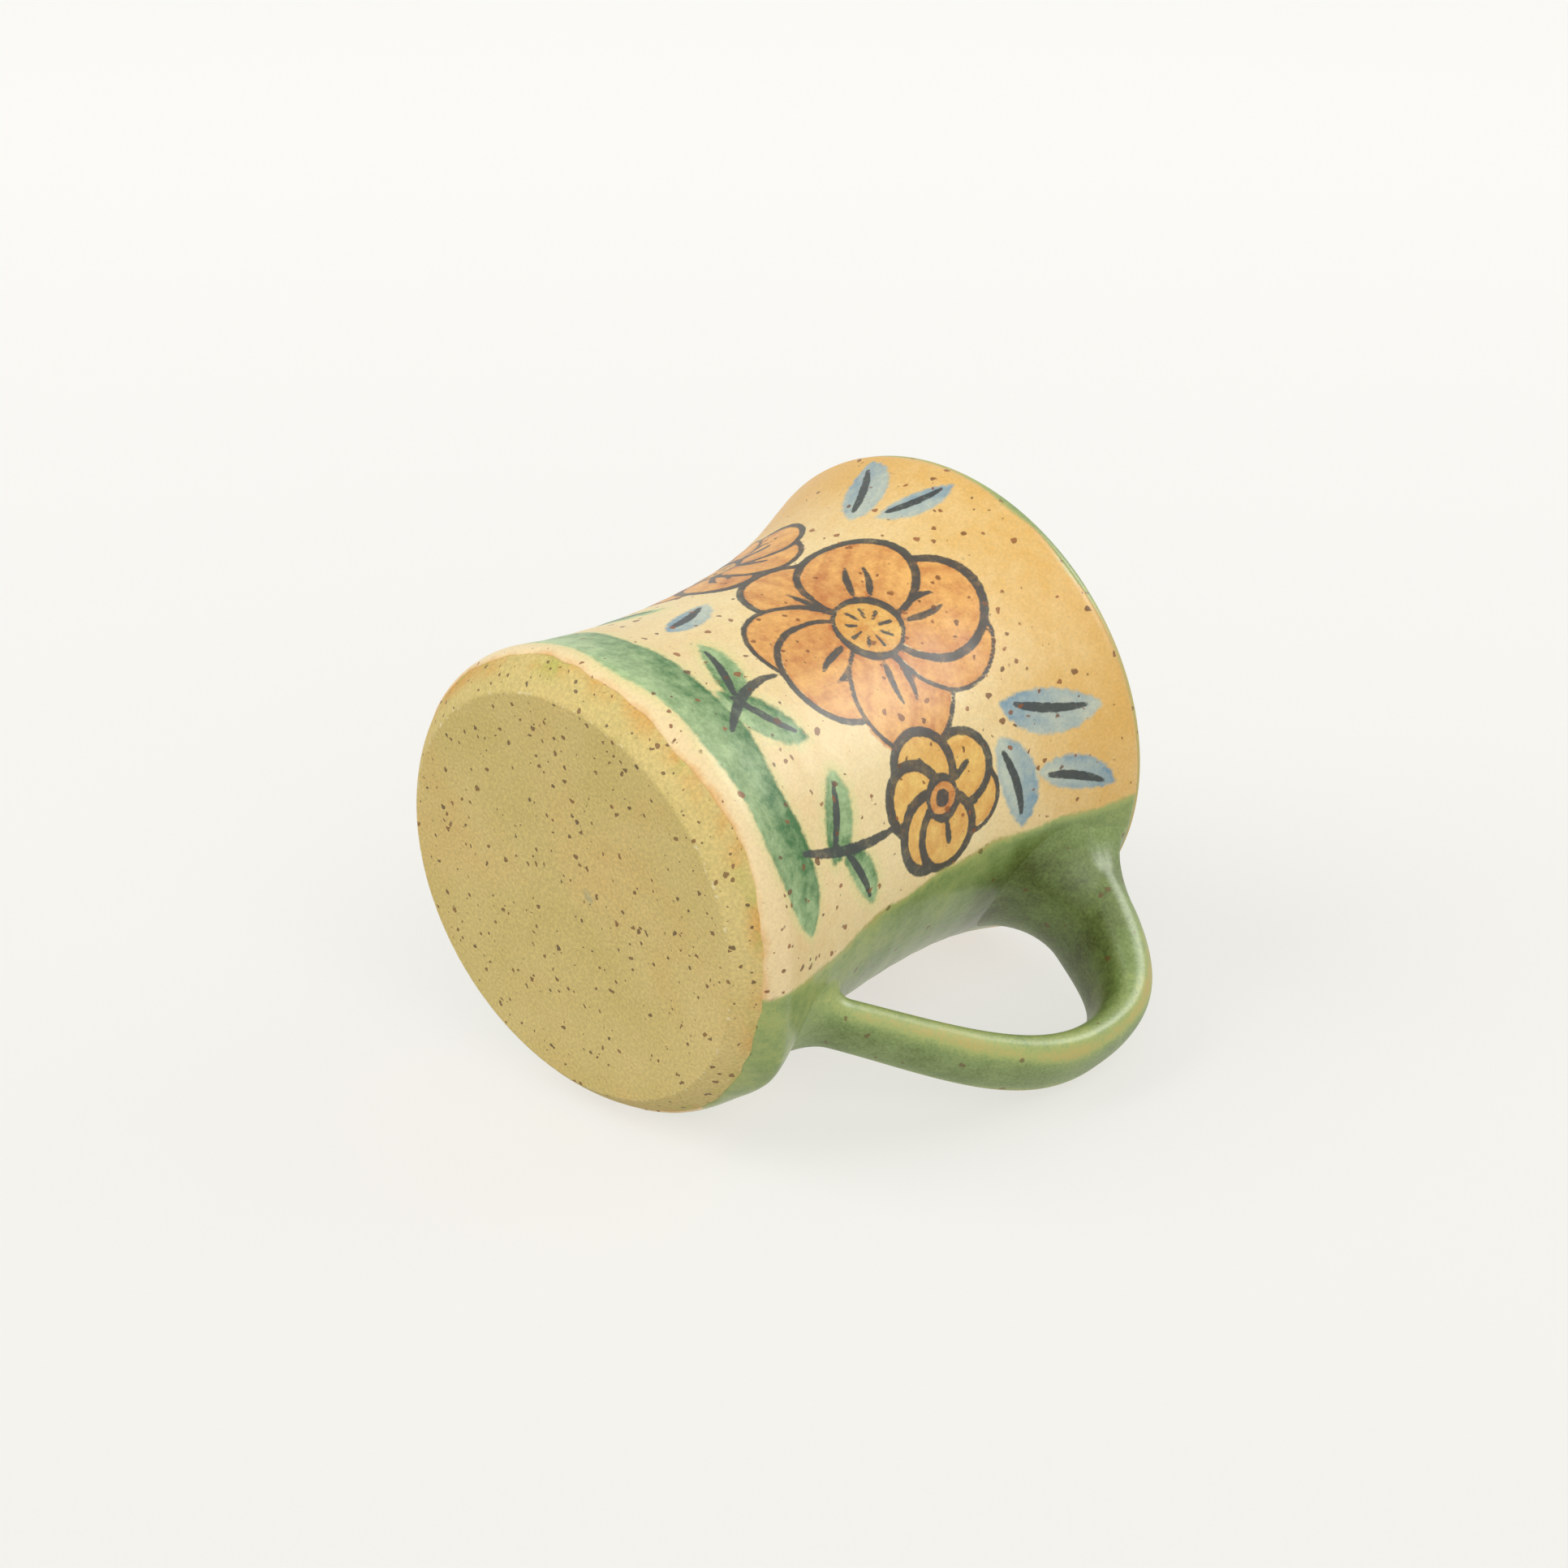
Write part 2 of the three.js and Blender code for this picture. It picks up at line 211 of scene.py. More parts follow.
def throw(name, profile, columns, material):
    """Turns a profile of radii and heights on the wheel, and returns the piece as a plain mesh object."""
    line = bpy.data.meshes.new(name)
    points = [(radius * MM, 0.0, up * MM) for radius, up in profile]
    line.from_pydata(points, [(i, i + 1) for i in range(len(points) - 1)], [])
    piece = bpy.data.objects.new(name, line)
    bpy.context.scene.collection.objects.link(piece)
    modifier = piece.modifiers.new("wheel", "NODES")
    modifier.node_group = wheel
    for label, value in (
        ("Columns", columns),
        ("Waver", WAVER * MM * 2),
        ("Waver Size", 45 * MM),
        ("Finger Spacing", 6.5 * MM),
        ("Finger Depth", 0.03 * MM),
        ("True Above", 92 * MM),
        ("Seed", SEED),
        ("Material", material),
    ):
        modifier[wheel_inputs[label]] = value
    ready = piece.evaluated_get(bpy.context.evaluated_depsgraph_get())
    piece.data = bpy.data.meshes.new_from_object(ready)
    piece.modifiers.clear()
    return piece


# Iron grit in the clay: it melts in the kiln and stains clay and glaze with brown specks, strewn unevenly,
# a few of them large and most too small to see. Sizes of specks are shares of the spacing between them.
iron_grit = bpy.data.node_groups.new("iron_grit", "ShaderNodeTree")
iron_grit.interface.new_socket("Place", in_out="INPUT", socket_type="NodeSocketVector")
for label in ("Spacing", "Drift Size", "Drift", "Rarity", "Smallest", "Largest", "Blur"):
    iron_grit.interface.new_socket(label, in_out="INPUT", socket_type="NodeSocketFloat")
for label in ("Speck", "Tone"):
    iron_grit.interface.new_socket(label, in_out="OUTPUT", socket_type="NodeSocketFloat")
tree = iron_grit
asked = add(tree, "NodeGroupInput")
drift_scale = add(tree, "ShaderNodeMath", {0: 1.0, 1: asked["Drift Size"]}, operation="DIVIDE")[0]
drift = add(
    tree, "ShaderNodeTexNoise", {"Vector": asked["Place"], "Scale": drift_scale, "Detail": 1.0},
)["Color"]
drift = add(tree, "ShaderNodeVectorMath", {0: drift, 1: (0.5, 0.5, 0.5)}, operation="SUBTRACT")[0]
strewn = add(
    tree, "ShaderNodeVectorMath", {0: drift, 1: asked["Drift"], 2: asked["Place"]},
    operation="MULTIPLY_ADD",
)[0]
grit_scale = add(tree, "ShaderNodeMath", {0: 1.0, 1: asked["Spacing"]}, operation="DIVIDE")[0]
grit = add(tree, "ShaderNodeTexVoronoi", {"Vector": strewn, "Scale": grit_scale})
own = add(tree, "ShaderNodeSeparateColor", {0: grit["Color"]})
radius = add(tree, "ShaderNodeMath", {0: own["Red"], 1: asked["Rarity"]}, operation="POWER")[0]
radius = add(
    tree, "ShaderNodeMapRange",
    {"Value": radius, "To Min": asked["Smallest"], "To Max": asked["Largest"]},
)["Result"]
edge = add(tree, "ShaderNodeMath", {0: radius, 1: asked["Blur"]}, operation="ADD")[0]
speck = add(
    tree, "ShaderNodeMapRange",
    {"Value": grit["Distance"], "From Min": radius, "From Max": edge, "To Min": 1.0, "To Max": 0.0},
    interpolation_type="SMOOTHSTEP",
)["Result"]
add(tree, "NodeGroupOutput", {"Speck": speck, "Tone": own["Green"]})

# Bare stoneware, fired to a buff khaki. It is dull and sandy to the eye. The whole bevel is made lighter as
# painted light, as though it caught more light than the base, and lighter flecks along the foot's edge are
# worn chips and also a painted highlight there. It is flashed lime and amber close to the glaze, with a touch
# of stray glaze in the middle of the base.
# The sand is drawn coarser than it is, to show.
SMUDGE_AT = (2.8 * MM, -4.1 * MM, BASE_DISH * MM)
stoneware = bpy.data.materials.new("fired_buff_stoneware")
stoneware.use_nodes = True
tree = stoneware.node_tree
place = add(tree, "ShaderNodeTexCoord")["Object"]
cloud = add(
    tree, "ShaderNodeTexNoise", {"Vector": place, "Scale": 1 / (22 * MM), "Detail": 3.0, "Roughness": 0.55},
)["Fac"]
cloud = add(tree, "ShaderNodeMapRange", {"Value": cloud, "From Min": 0.3, "From Max": 0.7})["Result"]
clay = add(
    tree, "ShaderNodeMix", {0: cloud, 6: linear("cdb86f"), 7: linear("dac37f")}, data_type="RGBA",
)[2]
blush = add(
    tree, "ShaderNodeTexNoise", {"Vector": place, "Scale": 1 / (30 * MM), "Detail": 4.0, "Roughness": 0.6},
)["Fac"]
blush = add(
    tree, "ShaderNodeMapRange", {"Value": blush, "From Min": 0.5, "From Max": 0.68, "To Max": 0.5},
)["Result"]
clay = add(tree, "ShaderNodeMix", {0: blush, 6: clay, 7: linear("d9b26c")}, data_type="RGBA")[2]
flat = add(tree, "ShaderNodeVectorMath", {0: place, 1: (1.0, 1.0, 0.0)}, operation="MULTIPLY")[0]
from_axis = add(tree, "ShaderNodeVectorMath", {0: flat}, operation="LENGTH")["Value"]
# Painted light: the bevel is lighter all round, standing in for the light it catches.
bevel_painted_light = add(
    tree, "ShaderNodeMapRange",
    {"Value": from_axis, "From Min": FOOT_RADIUS * MM, "From Max": (FOOT_RADIUS + 0.5) * MM, "To Max": 0.24},
    interpolation_type="SMOOTHSTEP",
)["Result"]
clay = add(tree, "ShaderNodeMix", {0: bevel_painted_light, 6: clay, 7: linear("ead48c")}, data_type="RGBA")[2]
flash = add(
    tree, "ShaderNodeTexNoise", {"Vector": place, "Scale": 1 / (9 * MM), "Detail": 3.0, "Roughness": 0.6},
)
near_glaze = add(
    tree, "ShaderNodeMapRange", {"Value": from_axis, "From Min": 37.5 * MM, "From Max": 40.2 * MM},
    interpolation_type="SMOOTHSTEP",
)["Result"]
flashed = add(
    tree, "ShaderNodeMapRange",
    {"Value": flash["Fac"], "From Min": 0.41, "From Max": 0.6, "To Max": 0.85},
)["Result"]
flashed = add(tree, "ShaderNodeMath", {0: flashed, 1: near_glaze}, operation="MULTIPLY")[0]
lime_or_amber = add(tree, "ShaderNodeSeparateColor", {0: flash["Color"]})["Green"]
lime_or_amber = add(
    tree, "ShaderNodeMapRange", {"Value": lime_or_amber, "From Min": 0.44, "From Max": 0.56},
)["Result"]
flash_colour = add(
    tree, "ShaderNodeMix", {0: lime_or_amber, 6: linear("b9b458"), 7: linear("d9a04c")}, data_type="RGBA",
)[2]
clay = add(tree, "ShaderNodeMix", {0: flashed, 6: clay, 7: flash_colour}, data_type="RGBA")[2]
# Lighter flecks along the foot's edge: worn chips, and also a painted highlight on that edge.
chips = add(tree, "ShaderNodeTexNoise", {"Vector": place, "Scale": 1 / (1.3 * MM), "Detail": 2.0})["Fac"]
chips_and_glints = add(
    tree, "ShaderNodeMapRange", {"Value": chips, "From Min": 0.55, "From Max": 0.65, "To Max": 0.6},
)["Result"]
off_edge = add(tree, "ShaderNodeMath", {0: from_axis, 1: (FOOT_RADIUS + 0.05) * MM}, operation="SUBTRACT")[0]
off_edge = add(tree, "ShaderNodeMath", {0: off_edge}, operation="ABSOLUTE")[0]
at_edge = add(
    tree, "ShaderNodeMapRange", {"Value": off_edge, "From Min": 0.4 * MM, "From Max": 0.1 * MM},
)["Result"]
edge_wear_and_highlight = add(tree, "ShaderNodeMath", {0: chips_and_glints, 1: at_edge}, operation="MULTIPLY")[0]
clay = add(tree, "ShaderNodeMix", {0: edge_wear_and_highlight, 6: clay, 7: linear("f0e4b8")}, data_type="RGBA")[2]
from_smudge = add(tree, "ShaderNodeVectorMath", {0: place, 1: SMUDGE_AT}, operation="DISTANCE")["Value"]
from_smudge = add(
    tree, "ShaderNodeMath", {0: chips, 1: 3.0 * MM, 2: from_smudge}, operation="MULTIPLY_ADD",
)[0]
smudge = add(
    tree, "ShaderNodeMapRange",
    {"Value": from_smudge, "From Min": 3.2 * MM, "From Max": 1.8 * MM, "To Max": 0.45},
    interpolation_type="SMOOTHSTEP",
)["Result"]
clay = add(tree, "ShaderNodeMix", {0: smudge, 6: clay, 7: linear("97a488")}, data_type="RGBA")[2]
sand = add(tree, "ShaderNodeTexNoise", {"Vector": place, "Scale": 1 / (0.55 * MM), "Detail": 2.0})["Fac"]
sandy = add(
    tree, "ShaderNodeMapRange",
    {"Value": sand, "From Min": 0.3, "From Max": 0.7, "To Min": 0.85, "To Max": 1.1},
)["Result"]
clay = add(tree, "ShaderNodeVectorMath", {0: clay, "Scale": sandy}, operation="SCALE")[0]
grit = add(tree, "ShaderNodeGroup", {
    "Place": place, "Spacing": 1.35 * MM, "Drift Size": 1.2 * MM, "Drift": 1.15 * MM,
    "Rarity": 4.0, "Smallest": 0.04, "Largest": 0.36, "Blur": 0.035,
}, node_tree=iron_grit)
iron = add(
    tree, "ShaderNodeMix",
    {0: grit["Tone"], 6: linear("7d5326"), 7: linear("4f3820")}, data_type="RGBA",
)[2]
speck = add(tree, "ShaderNodeMath", {0: grit["Speck"], 1: 0.85}, operation="MULTIPLY")[0]
clay = add(tree, "ShaderNodeMix", {0: speck, 6: clay, 7: iron}, data_type="RGBA")[2]
rough = add(
    tree, "ShaderNodeMapRange", {"Value": grit["Speck"], "To Min": 0.82, "To Max": 0.55},
)["Result"]
grain = add(tree, "ShaderNodeBump", {"Height": sand, "Strength": 0.35, "Distance": 0.06 * MM})[0]
shader = tree.nodes["Principled BSDF"]
shader.inputs["IOR"].default_value = 1.5
for value, name in ((clay, "Base Color"), (rough, "Roughness"), (grain, "Normal")):
    tree.links.new(value, shader.inputs[name])

cup = throw("cup", np.vstack([base, outside, over_lip[1:], inside[1:]]), 192, stoneware)
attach(cup, "root")
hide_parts("thrown_body")


# The handle. A strap of the same clay, pulled while wet, hung to bend and pressed on the wall at both ends,
# with a coil of soft clay smoothed into each seam. A thumb has pressed its outer corners. The fillets at the
# seams lie on the wall as it was thrown, sunk a little into its coat, and keep below the lip.
UPPER_ROOT_HEIGHT = 85.1
UPPER_ROOT_DROOP = math.radians(14)
UPPER_EASES = (19.5, 13.8)
BEND = np.array([68.05, 63.3])
LOWER_EASES = (17.0, 20.0)
LOWER_ROOT_HEIGHT = 22.0
LOWER_ROOT_CLIMB = math.radians(46)
STRAP_WIDTHS = (22.0, 14.0, 11.5)
STRAP_THICKNESSES = (11.0, 6.4, 5.8)
STRAP_SQUARENESS = 2.3
CORNER_PRESS = 0.025
COAT = 0.4
SUNK = 0.22
SEAM_TOP = 92.8
IN_WALL = 12
STATIONS = 120
SIDES = 72
LENGTHS = 150
FILLET_STEPS = 14


def eased(share):
    """A share from 0 to 1 that sets off slowly and comes in slowly."""
    return share**2 * (3 - 2 * share)


def hump(values, middle, wide):
    """1 where values are at the middle, falling off smoothly to both sides."""
    return np.exp(-(((values - middle) / wide) ** 2))


upper_root = np.array([wall_radius(UPPER_ROOT_HEIGHT), UPPER_ROOT_HEIGHT])
lower_root = np.array([wall_radius(LOWER_ROOT_HEIGHT), LOWER_ROOT_HEIGHT])
droop = np.array([math.cos(UPPER_ROOT_DROOP), -math.sin(UPPER_ROOT_DROOP)])
climb = np.array([math.cos(LOWER_ROOT_CLIMB), math.sin(LOWER_ROOT_CLIMB)])
into_wall = np.arange(IN_WALL, 0, -1)[:, None]
above_bend, below_bend = BEND + UPPER_EASES[1] * upright, BEND - LOWER_EASES[0] * upright
centre_line = np.vstack([
    upper_root - into_wall * droop,
    swept(upper_root, upper_root + UPPER_EASES[0] * droop, above_bend, BEND, STATIONS),
    swept(BEND, below_bend, lower_root + LOWER_EASES[1] * climb, lower_root, STATIONS)[1:],
    lower_root - into_wall[::-1] * climb,
])
along_strap = np.gradient(centre_line, axis=0)
along_strap /= np.linalg.norm(along_strap, axis=1)[:, None]
travel = np.concatenate([[0], np.cumsum(np.linalg.norm(np.diff(centre_line, axis=0), axis=1))])
root_at, bend_at, end_at = travel[IN_WALL:][[0, STATIONS - 1, 2 * STATIONS - 2]]
to_bend = np.clip((travel - root_at) / (bend_at - root_at), 0, 1)
to_end = np.clip((travel - bend_at) / (end_at - bend_at), 0, 1)


def strap_size(sizes, late):
    """Half a size along the strap: how late it changes before the bend, and then on to the lower root."""
    before_bend = sizes[0] + (sizes[1] - sizes[0]) * to_bend**late * (late + 1 - late * to_bend)
    return (before_bend + (sizes[2] - sizes[1]) * eased(to_end)) / 2


round_strap = 2 * math.pi * np.arange(SIDES) / SIDES
power = 2 / STRAP_SQUARENESS
across_share = np.sign(np.cos(round_strap)) * np.abs(np.cos(round_strap)) ** power
through_share = np.sign(np.sin(round_strap)) * np.abs(np.sin(round_strap)) ** power
off_side = np.abs((round_strap + math.pi / 2) % math.pi - math.pi / 2)
pressed = 1 - CORNER_PRESS * hump(off_side, 0.55, 0.25) * (through_share > 0)
across_share *= pressed
through_share *= pressed
across = strap_size(STRAP_WIDTHS, 2)[:, None] * across_share
through = strap_size(STRAP_THICKNESSES, 4)[:, None] * through_share
strap = np.stack([
    centre_line[:, :1] - along_strap[:, 1:] * through,
    across,
    centre_line[:, 1:] + along_strap[:, :1] * through,
], axis=2)


def off_wall(points):
    """How far points stand out from the glazed wall."""
    return np.hypot(points[..., 0], points[..., 1]) - wall_radius(points[..., 2]) - COAT


cup_skin = BVHTree.FromObject(cup, bpy.context.evaluated_depsgraph_get())


def thrown_radius(point):
    """How far out the cup's wall stands beside a point, out of true as it was thrown."""
    outwards = Vector((point[0], point[1], 0)).normalized()
    level = Vector((0, 0, point[2] * MM))
    found = cup_skin.ray_cast(level + outwards * 0.1, -outwards)[0]
    return (found - level).length / MM


def fillet(contact, leaving, spread, run):
    """Smooths a seam: curves that leave the wall flat and turn into the strap, one for each side."""
    loop = np.roll(contact, -1, axis=0) - np.roll(contact, 1, axis=0)
    slope = (wall_radius(contact[:, 2] + 0.5) - wall_radius(contact[:, 2] - 0.5))[:, None]
    radial = contact * (1, 1, 0) / np.hypot(contact[:, 0], contact[:, 1])[:, None]
    facing = radial - slope * (0, 0, 1)
    away = np.cross(loop, facing)
    away /= np.linalg.norm(away, axis=1)[:, None]
    away *= np.sign(np.sum(away * (contact - contact.mean(axis=0)), axis=1))[:, None]
    spread = np.minimum(spread, (SEAM_TOP - contact[:, 2]) / np.maximum(away[:, 2], 0.05))
    rings = []
    for angle in np.linspace(0, math.pi / 2, FILLET_STEPS, endpoint=False):
        still_out = 1 - math.sin(angle)
        foot = contact + spread[:, None] * still_out * away
        thrown = np.array([thrown_radius(point) for point in foot])
        foot -= (np.hypot(foot[:, 0], foot[:, 1]) - thrown - COAT + SUNK * still_out)[:, None] * radial
        if angle == 0:
            rings.append(foot - 0.7 * radial + 0.2 * away)
        rings.append(foot + run[:, None] * (1 - math.cos(angle)) * leaving)
    return rings


standing = off_wall(strap) > 0
first = standing.argmax(axis=0)
last = len(strap) - 1 - standing[::-1].argmax(axis=0)
outer = np.clip(through_share, 0, 1)
inner = np.clip(-through_share, 0, 1)
shoulder = hump(off_side, 0.7, 0.45) * (through_share > 0)
upper_spread = 3.4 - 0.6 * outer + 10.3 * inner + 3.4 * shoulder
upper_run = 5.5 + 6.5 * outer + 8.2 * inner + 3.5 * shoulder
lower_spread = 5.0 + 1.5 * outer - 2.2 * inner
upper_contact, lower_contact, upper_leaving, lower_leaving = np.empty((4, SIDES, 3))
lengths = np.empty((LENGTHS, SIDES, 3))
for side in range(SIDES):
    gaps = off_wall(strap[:, side])
    k = first[side]
    share = gaps[k - 1] / (gaps[k - 1] - gaps[k])
    upper_contact[side] = strap[k - 1, side] + share * (strap[k, side] - strap[k - 1, side])
    k = last[side]
    share = gaps[k + 1] / (gaps[k + 1] - gaps[k])
    lower_contact[side] = strap[k + 1, side] + share * (strap[k, side] - strap[k + 1, side])
    path = np.vstack([upper_contact[side], strap[first[side]:last[side] + 1, side], lower_contact[side]])
    walked = np.concatenate([[0], np.cumsum(np.linalg.norm(np.diff(path, axis=0), axis=1))])
    stops = np.linspace(upper_run[side], walked[-1] - lower_spread[side], LENGTHS)
    for axis in range(3):
        lengths[:, side, axis] = np.interp(stops, walked, path[:, axis])
    upper_leaving[side] = (lengths[0, side] - upper_contact[side]) / upper_run[side]
    lower_leaving[side] = (lengths[-1, side] - lower_contact[side]) / lower_spread[side]
rings = np.array([
    *fillet(upper_contact, upper_leaving, upper_spread, upper_run),
    *lengths,
    *fillet(lower_contact, lower_leaving, lower_spread, lower_spread)[::-1],
])
corners = rings.reshape(-1, 3)
faces = []
for ring in range(len(rings) - 1):
    for side in range(SIDES):
        a = ring * SIDES + side
        b = ring * SIDES + (side + 1) % SIDES
        faces.append((a, b, b + SIDES, a + SIDES))
caps = [rings[0].mean(axis=0), rings[-1].mean(axis=0)]
for side in range(SIDES):
    after = (side + 1) % SIDES
    faces.append((len(corners), after, side))
    faces.append((len(corners) + 1, len(corners) - SIDES + side, len(corners) - SIDES + after))
handle_mesh = bpy.data.meshes.new("handle")
handle_mesh.from_pydata(np.vstack([corners, caps]) * MM, [], faces)
hidden = [face < SIDES or face >= len(faces) - 3 * SIDES for face in range(len(faces))]
handle_mesh.polygons.foreach_set("use_smooth", [not under for under in hidden])

# The glaze ran thin off the strap's outer edges and pooled in the upper joint's corner. The strap's inside is
# darker as pooled glaze and as painted shade where it faces the wall, and its outer face darkens down the
# strap as painted shade.
POOL = np.array([44.0, 0.0, 74.0])


def pool_depth(points):
    """How deep the glaze lies round the upper joint's inside corner, from 0 to 1."""
    return eased(np.clip((25 - np.linalg.norm(points - POOL, axis=-1)) / 18, 0, 1))


from_top = np.arange(len(rings))[:, None]
clear_of_roots = np.clip(np.minimum(from_top / 30, from_top[::-1] / 20), 0, 1)
down_strap = np.linspace(0, 1, len(rings))[:, None]
edge_at = 0.52 + 0.25 * hump(down_strap, 0.52, 0.13)
on_edge = 0.75 * hump(off_side, edge_at, 0.38) * np.where(through_share > 0, 1.0, 0.12)
uneven = 0.8 + 0.2 * np.sin(from_top * 0.04 + 3 * np.cos(round_strap) + 1.4)
on_sides = 0.2 * hump(off_side, 0.0, 0.5) * down_strap
thin = clear_of_roots**2 * (on_edge * uneven + on_sides)
# Painted shade on the strap's inside, laid on with the glaze pooled there, strongest near the top.
inside_pool_and_shade = np.clip(1.1 - (down_strap / 0.42) ** 2, 0, 1) * np.clip(inner * 1.6 - 0.5, 0, 1)
# Painted shade: the outer face grows darker down the strap, towards the floor it faces.
outer_face_painted_shade = 0.45 * down_strap * np.clip(outer * 1.6 - 0.5, 0, 1)
pooled_and_shaded = np.maximum(pool_depth(rings), clear_of_roots * (inside_pool_and_shade + outer_face_painted_shade))


def keep(mesh, maps):
    """Keeps maps of the surface on a mesh, as a value for each of its points."""
    for name, values in maps.items():
        mesh.attributes.new(name, "FLOAT", "POINT").data.foreach_set("value", values.astype(np.float32))


at_caps = [0, 0]
keep(handle_mesh, {"thin": np.append(thin, at_caps), "pooled_and_shaded": np.append(pooled_and_shaded, at_caps)})

# The green glaze: a copper and iron green, fired until it ran. It is deep where it pooled and, on the handle,
# where painted shade is laid on; yellow green where it is plain and tan where it ran thin off an edge,
# clouded, with the clay's iron bled into it. Its fine grain is drawn coarser than it is, to show.
green_glaze = bpy.data.node_groups.new("green_glaze_depth", "ShaderNodeTree")
for label, way, kind in (
    ("Place", "INPUT", "NodeSocketVector"),
    ("Thin", "INPUT", "NodeSocketFloat"),
    ("Pooled And Shaded", "INPUT", "NodeSocketFloat"),
    ("Color", "OUTPUT", "NodeSocketColor"),
    ("Height", "OUTPUT", "NodeSocketFloat"),
):
    green_glaze.interface.new_socket(label, in_out=way, socket_type=kind)
tree = green_glaze
asked = add(tree, "NodeGroupInput")
cloud = add(
    tree, "ShaderNodeTexNoise",
    {"Vector": asked["Place"], "Scale": 1 / (13 * MM), "Detail": 3.0, "Roughness": 0.6},
)["Fac"]
fleck = add(
    tree, "ShaderNodeTexNoise",
    {"Vector": asked["Place"], "Scale": 1 / (1.6 * MM), "Detail": 3.0, "Roughness": 0.7},
)["Fac"]
grain = add(
    tree, "ShaderNodeTexNoise", {"Vector": asked["Place"], "Scale": 1 / (0.5 * MM), "Detail": 1.0},
)["Fac"]
depth = -0.19
# Pooled glaze, and on the handle painted shade too, darkens the green.
for layer, share in (
    (cloud, 0.68),
    (fleck, 0.35),
    (grain, 0.35),
    (asked["Pooled And Shaded"], 0.4),
    (asked["Thin"], -0.55),
):
    depth = add(tree, "ShaderNodeMath", {0: layer, 1: share, 2: depth}, operation="MULTIPLY_ADD")[0]
colour = add(tree, "ShaderNodeValToRGB", {"Fac": depth})["Color"]
stops = colour.node.color_ramp.elements
stops[0].position = 0.0
stops[0].color = linear("c4b065")
stops[1].position = 1.0
stops[1].color = linear("4d5727")
for position, shade in ((0.16, "bfb46a"), (0.34, "a9b56b"), (0.54, "8ca060"), (0.74, "728546")):
    stops.new(position).color = linear(shade)
grit = add(tree, "ShaderNodeGroup", {
    "Place": asked["Place"], "Spacing": 3.1 * MM, "Drift Size": 1.4 * MM, "Drift": 1.0 * MM,
    "Rarity": 3.0, "Smallest": 0.0, "Largest": 0.2, "Blur": 0.05,
}, node_tree=iron_grit)
speck = add(tree, "ShaderNodeMath", {0: grit["Speck"], 1: 0.7}, operation="MULTIPLY")[0]
colour = add(tree, "ShaderNodeMix", {0: speck, 6: colour, 7: linear("6b4a24")}, data_type="RGBA")[2]
swell = add(
    tree, "ShaderNodeTexNoise", {"Vector": asked["Place"], "Scale": 1 / (5 * MM), "Detail": 2.0},
)["Fac"]
add(tree, "NodeGroupOutput", {"Color": colour, "Height": swell})

green = bpy.data.materials.new("green_stoneware_glaze")
green.use_nodes = True
tree = green.node_tree
place = add(tree, "ShaderNodeTexCoord")["Object"]
thin = add(tree, "ShaderNodeAttribute", attribute_name="thin")["Fac"]
pooled_and_shaded = add(tree, "ShaderNodeAttribute", attribute_name="pooled_and_shaded")["Fac"]
glaze = add(
    tree, "ShaderNodeGroup", {"Place": place, "Thin": thin, "Pooled And Shaded": pooled_and_shaded}, node_tree=green_glaze,
)
ripple = add(
    tree, "ShaderNodeBump", {"Height": glaze["Height"], "Strength": 0.5, "Distance": 0.25 * MM},
)[0]
rough = add(tree, "ShaderNodeMapRange", {"Value": thin, "To Min": 0.4, "To Max": 0.5})["Result"]
shader = tree.nodes["Principled BSDF"]
shader.inputs["IOR"].default_value = 1.52
for value, name in ((glaze["Color"], "Base Color"), (rough, "Roughness"), (ripple, "Normal")):
    tree.links.new(value, shader.inputs[name])

handle = bpy.data.objects.new("handle_strap", handle_mesh)
bpy.context.scene.collection.objects.link(handle)
handle_mesh.materials.append(green)
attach(handle, "root")
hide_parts("handle", "upper_joint_coil", "lower_joint_coil")


# The wall's coat. Stains brushed on the raw clay under a clear warm glaze, which stops in a wavering bead
# above the foot. A strip behind the handle takes the handle's green, which ran on down over the foot.
GLAZE_LINE = 5.0
COAT_SPACING = 0.56
coat_end = np.array([lip(angle) for angle in np.radians([0, 12, 24, 36, 48])])
coated = np.vstack([outside[outside[:, 1] > GLAZE_LINE + 0.2], coat_end])
coated = np.vstack([(wall_radius(GLAZE_LINE), GLAZE_LINE), coated])
walked = np.concatenate([[0], np.cumsum(np.linalg.norm(np.diff(coated, axis=0), axis=1))])
stops = np.concatenate([
    [0, 0.04, 0.12, 0.25, 0.42, 0.65, 0.95], np.arange(1.35, walked[-1], COAT_SPACING), walked[-1:],
])
skin = np.column_stack([np.interp(stops, walked, coated[:, i]) for i in (0, 1)])
lie = np.gradient(skin, axis=0)
lie /= np.linalg.norm(lie, axis=1)[:, None]
bead = np.sqrt(1 - (1 - np.clip(stops / 1.1, 0, 1)) ** 2)
taper = np.clip((walked[-1] - stops) / 1.6, 0, 1)
thickness = (COAT * bead * (0.6 + 0.4 * np.clip((walked[-1] - stops) / 6, 0, 1)) * taper - 0.03)[:, None]
skin = skin + thickness * np.column_stack([lie[:, 1], -lie[:, 0]])
back_heights = np.linspace(92, 6, 9)
back = np.column_stack([wall_radius(back_heights) - 1.2, back_heights])
profile = np.vstack([skin, back, skin[:1]])

clear = bpy.data.materials.new("clear_glaze_over_brushed_stain")
clear.use_nodes = True
wall = throw("painted_wall", profile, 456, clear)
spots = np.empty(len(wall.data.vertices) * 3)
wall.data.vertices.foreach_get("co", spots)
spots = spots.reshape(-1, 3) / MM
turn = np.arctan2(spots[:, 1], spots[:, 0])
azimuth = np.degrees(turn)
up = spots[:, 2]
girth = np.hypot(spots[:, 0], spots[:, 1])

